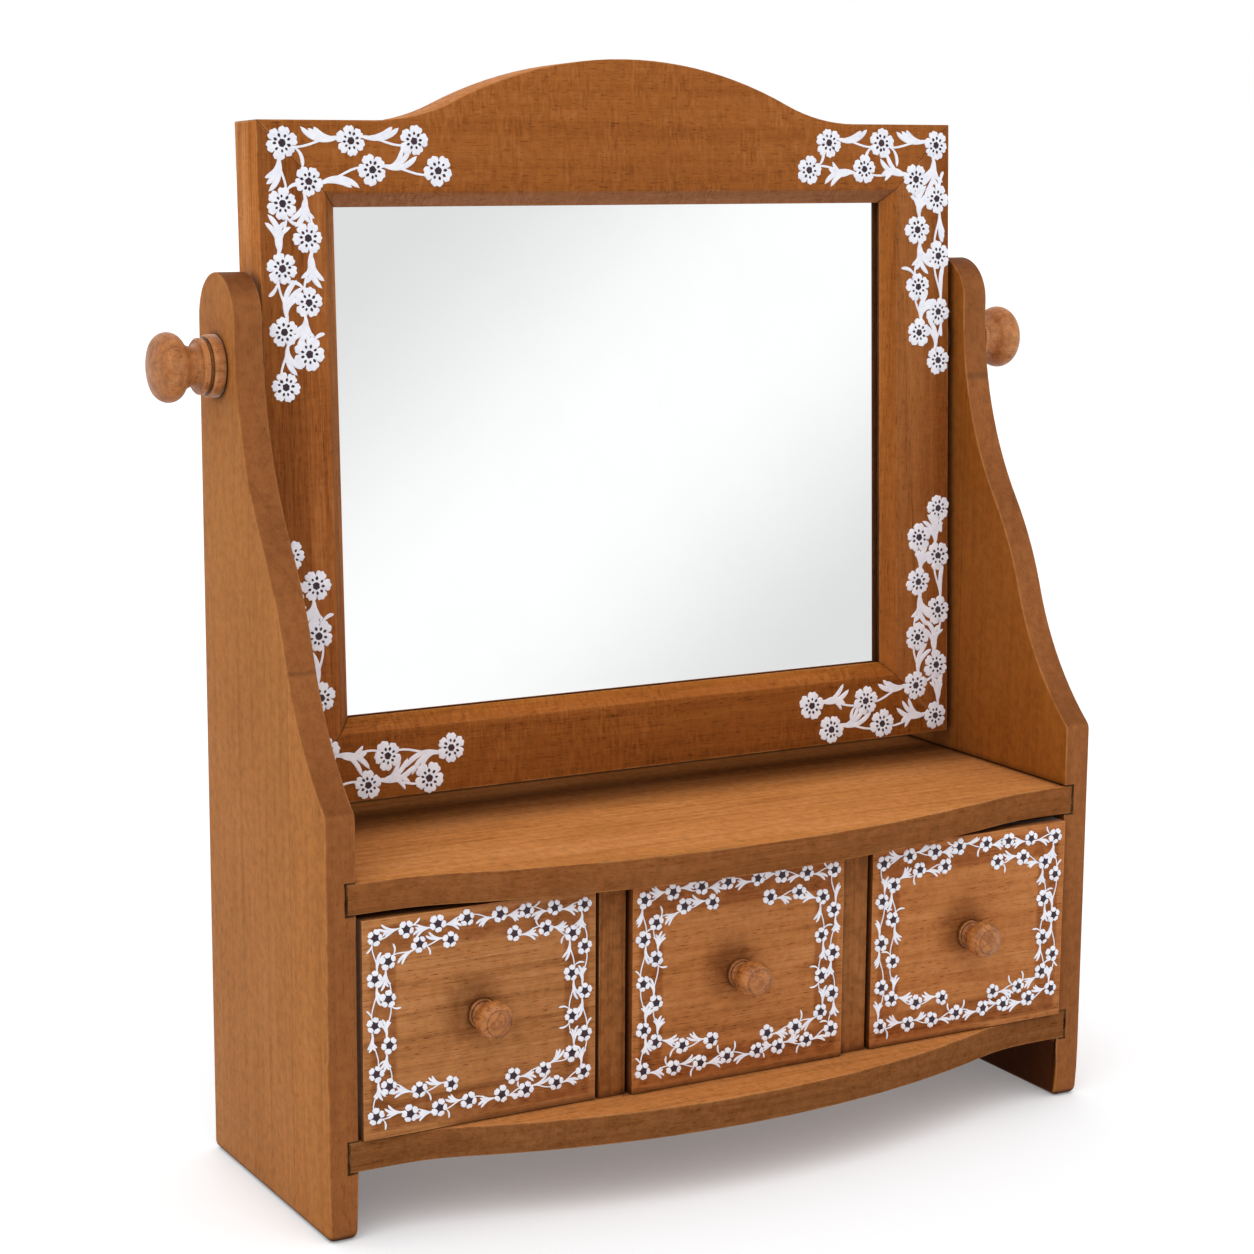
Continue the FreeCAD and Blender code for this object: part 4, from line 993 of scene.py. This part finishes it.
WHITE = (1, 1, 1, 1)
world = bpy.data.worlds.new("studio")
bpy.context.scene.world = world
world.use_nodes = True
world.node_tree.nodes.clear()
tree = Nodes(world.node_tree)
sky = tree.new("ShaderNodeBackground", {"Color": WHITE, "Strength": backdrop_strength(tree, 0.6)})
tree.new("ShaderNodeOutputWorld", {"Surface": sky.outputs[0]})

# The floor is white, with a painted shadow that turns it grey where the piece stands over it
FLOOR_REACH, FLOOR_LEVEL, SHADOW_REACH = 30.0, -0.0001, 0.07
corners = corners_of(FLOOR_REACH, -FLOOR_REACH, FLOOR_REACH)
floor = add_sheet("floor", [(x, y, FLOOR_LEVEL) for x, y in corners])
made, tree, shader = material("pale_floor")
# Painted shadow: colour and glow go grey where the piece is close above
deep = tree.ramp(tree.open_sky(SHADOW_REACH, 12), 0.1, 0.72, 1.0, 0.0)
tree.feed(shader, {"Base Color": tree.mix(deep, (0.8, 0.82, 0.84, 1), (0.5, 0.5, 0.51, 1)),
                   "Roughness": 0.9, "Specular IOR Level": 0.0,
                   "Emission Color": tree.mix(deep, WHITE, (0.62, 0.6, 0.6, 1)),
                   "Emission Strength": tree.times(backdrop_strength(tree, 0.0), 0.3)})
floor.data.materials.append(made)


def sun(name, towards, strength, softness):
    lamp = bpy.data.lights.new(name, "SUN")
    lamp.energy = strength
    lamp.angle = math.radians(softness)
    held = add_object(name, lamp)
    held.rotation_mode = "QUATERNION"
    held.rotation_quaternion = Vector(towards).to_track_quat("-Z", "Y")


sun("key", (0.55, 0.65, -0.8), 1.1, 70)
sun("fill", (-0.7, 0.6, -0.7), 0.35, 90)
sun("back", (0.15, -0.7, -0.8), 0.6, 80)

# The camera as fitted to the photo, with its focal length in the photo's pixels
FOCAL, FRAME_PIXELS, SENSOR = 2779.5, 1254, 36.0
YAW, PITCH, ROLL = math.radians(29.54), math.radians(-10.09), math.radians(0.36)
CAMERA_PLACE = Vector((-641.6, -1083.4, 465.8)) * MM
view = Vector((math.sin(YAW) * math.cos(PITCH), math.cos(YAW) * math.cos(PITCH), math.sin(PITCH)))
level = Vector((math.cos(YAW), -math.sin(YAW), 0))
upright = level.cross(view)
right = level * math.cos(ROLL) + upright * math.sin(ROLL)
above = -level * math.sin(ROLL) + upright * math.cos(ROLL)
camera = add_object("camera", bpy.data.cameras.new("camera"))
camera.data.sensor_fit = "HORIZONTAL"
camera.data.sensor_width = SENSOR
camera.data.lens = FOCAL * SENSOR / FRAME_PIXELS
turned = Matrix((right, above, -view)).transposed().to_4x4()
camera.matrix_world = Matrix.Translation(CAMERA_PLACE) @ turned
bpy.context.scene.camera = camera

# A grey card that only mirrors see, where the glass looks from the camera: white along a diagonal, and
# grey to both sides of it
CARD_STRETCH, CARD_AWAY = 2.4, 2.2
flip = Matrix.Identity(3) - 2 * Matrix([[a * b for b in FRAME_BACK] for a in FRAME_BACK])
behind = PIVOT + flip @ (camera.location - PIVOT)
corners = [on_frame(x, z, 0) for x, z in corners_of(SIGHT_HALF, SIGHT_LOW, SIGHT_HIGH)]
middle = sum(corners, Vector()) / 4
card = add_sheet("grey_card", [behind + (middle + (corner - middle) * CARD_STRETCH - behind) * CARD_AWAY
                               for corner in corners])
layer = card.data.uv_layers.new(name="card")
for loop, spot in zip(layer.data, ((0, 0), (1, 0), (1, 1), (0, 1))):
    loop.uv = spot
made, tree, shader = material("grey_card")
spot = tree.split(tree.new("ShaderNodeTexCoord").outputs["UV"])
from_left = tree.math("MULTIPLY_ADD", tree.about(spot[0]), CARD_STRETCH, 0.5)
from_low = tree.math("MULTIPLY_ADD", tree.about(spot[1]), CARD_STRETCH, 0.5)
tone = tree.ramp(tree.apart(from_left, from_low), 0.1, 0.9, 1.06, 0.78)
rim = tree.math("MAXIMUM", tree.apart(spot[0], 0.5), tree.apart(spot[1], 0.5))
tone = tree.mix(tree.ramp(rim, 0.3, 0.48), tone, WHITE)
light = tree.new("ShaderNodeEmission", {"Color": tone, "Strength": 1.0})
tree.feed(tree.tree.nodes["Material Output"], {"Surface": light.outputs[0]})
card.data.materials.append(made)
for ray in ("camera", "diffuse", "shadow", "transmission"):
    setattr(card, f"visible_{ray}", False)

bpy.context.scene.view_settings.view_transform = "Standard"
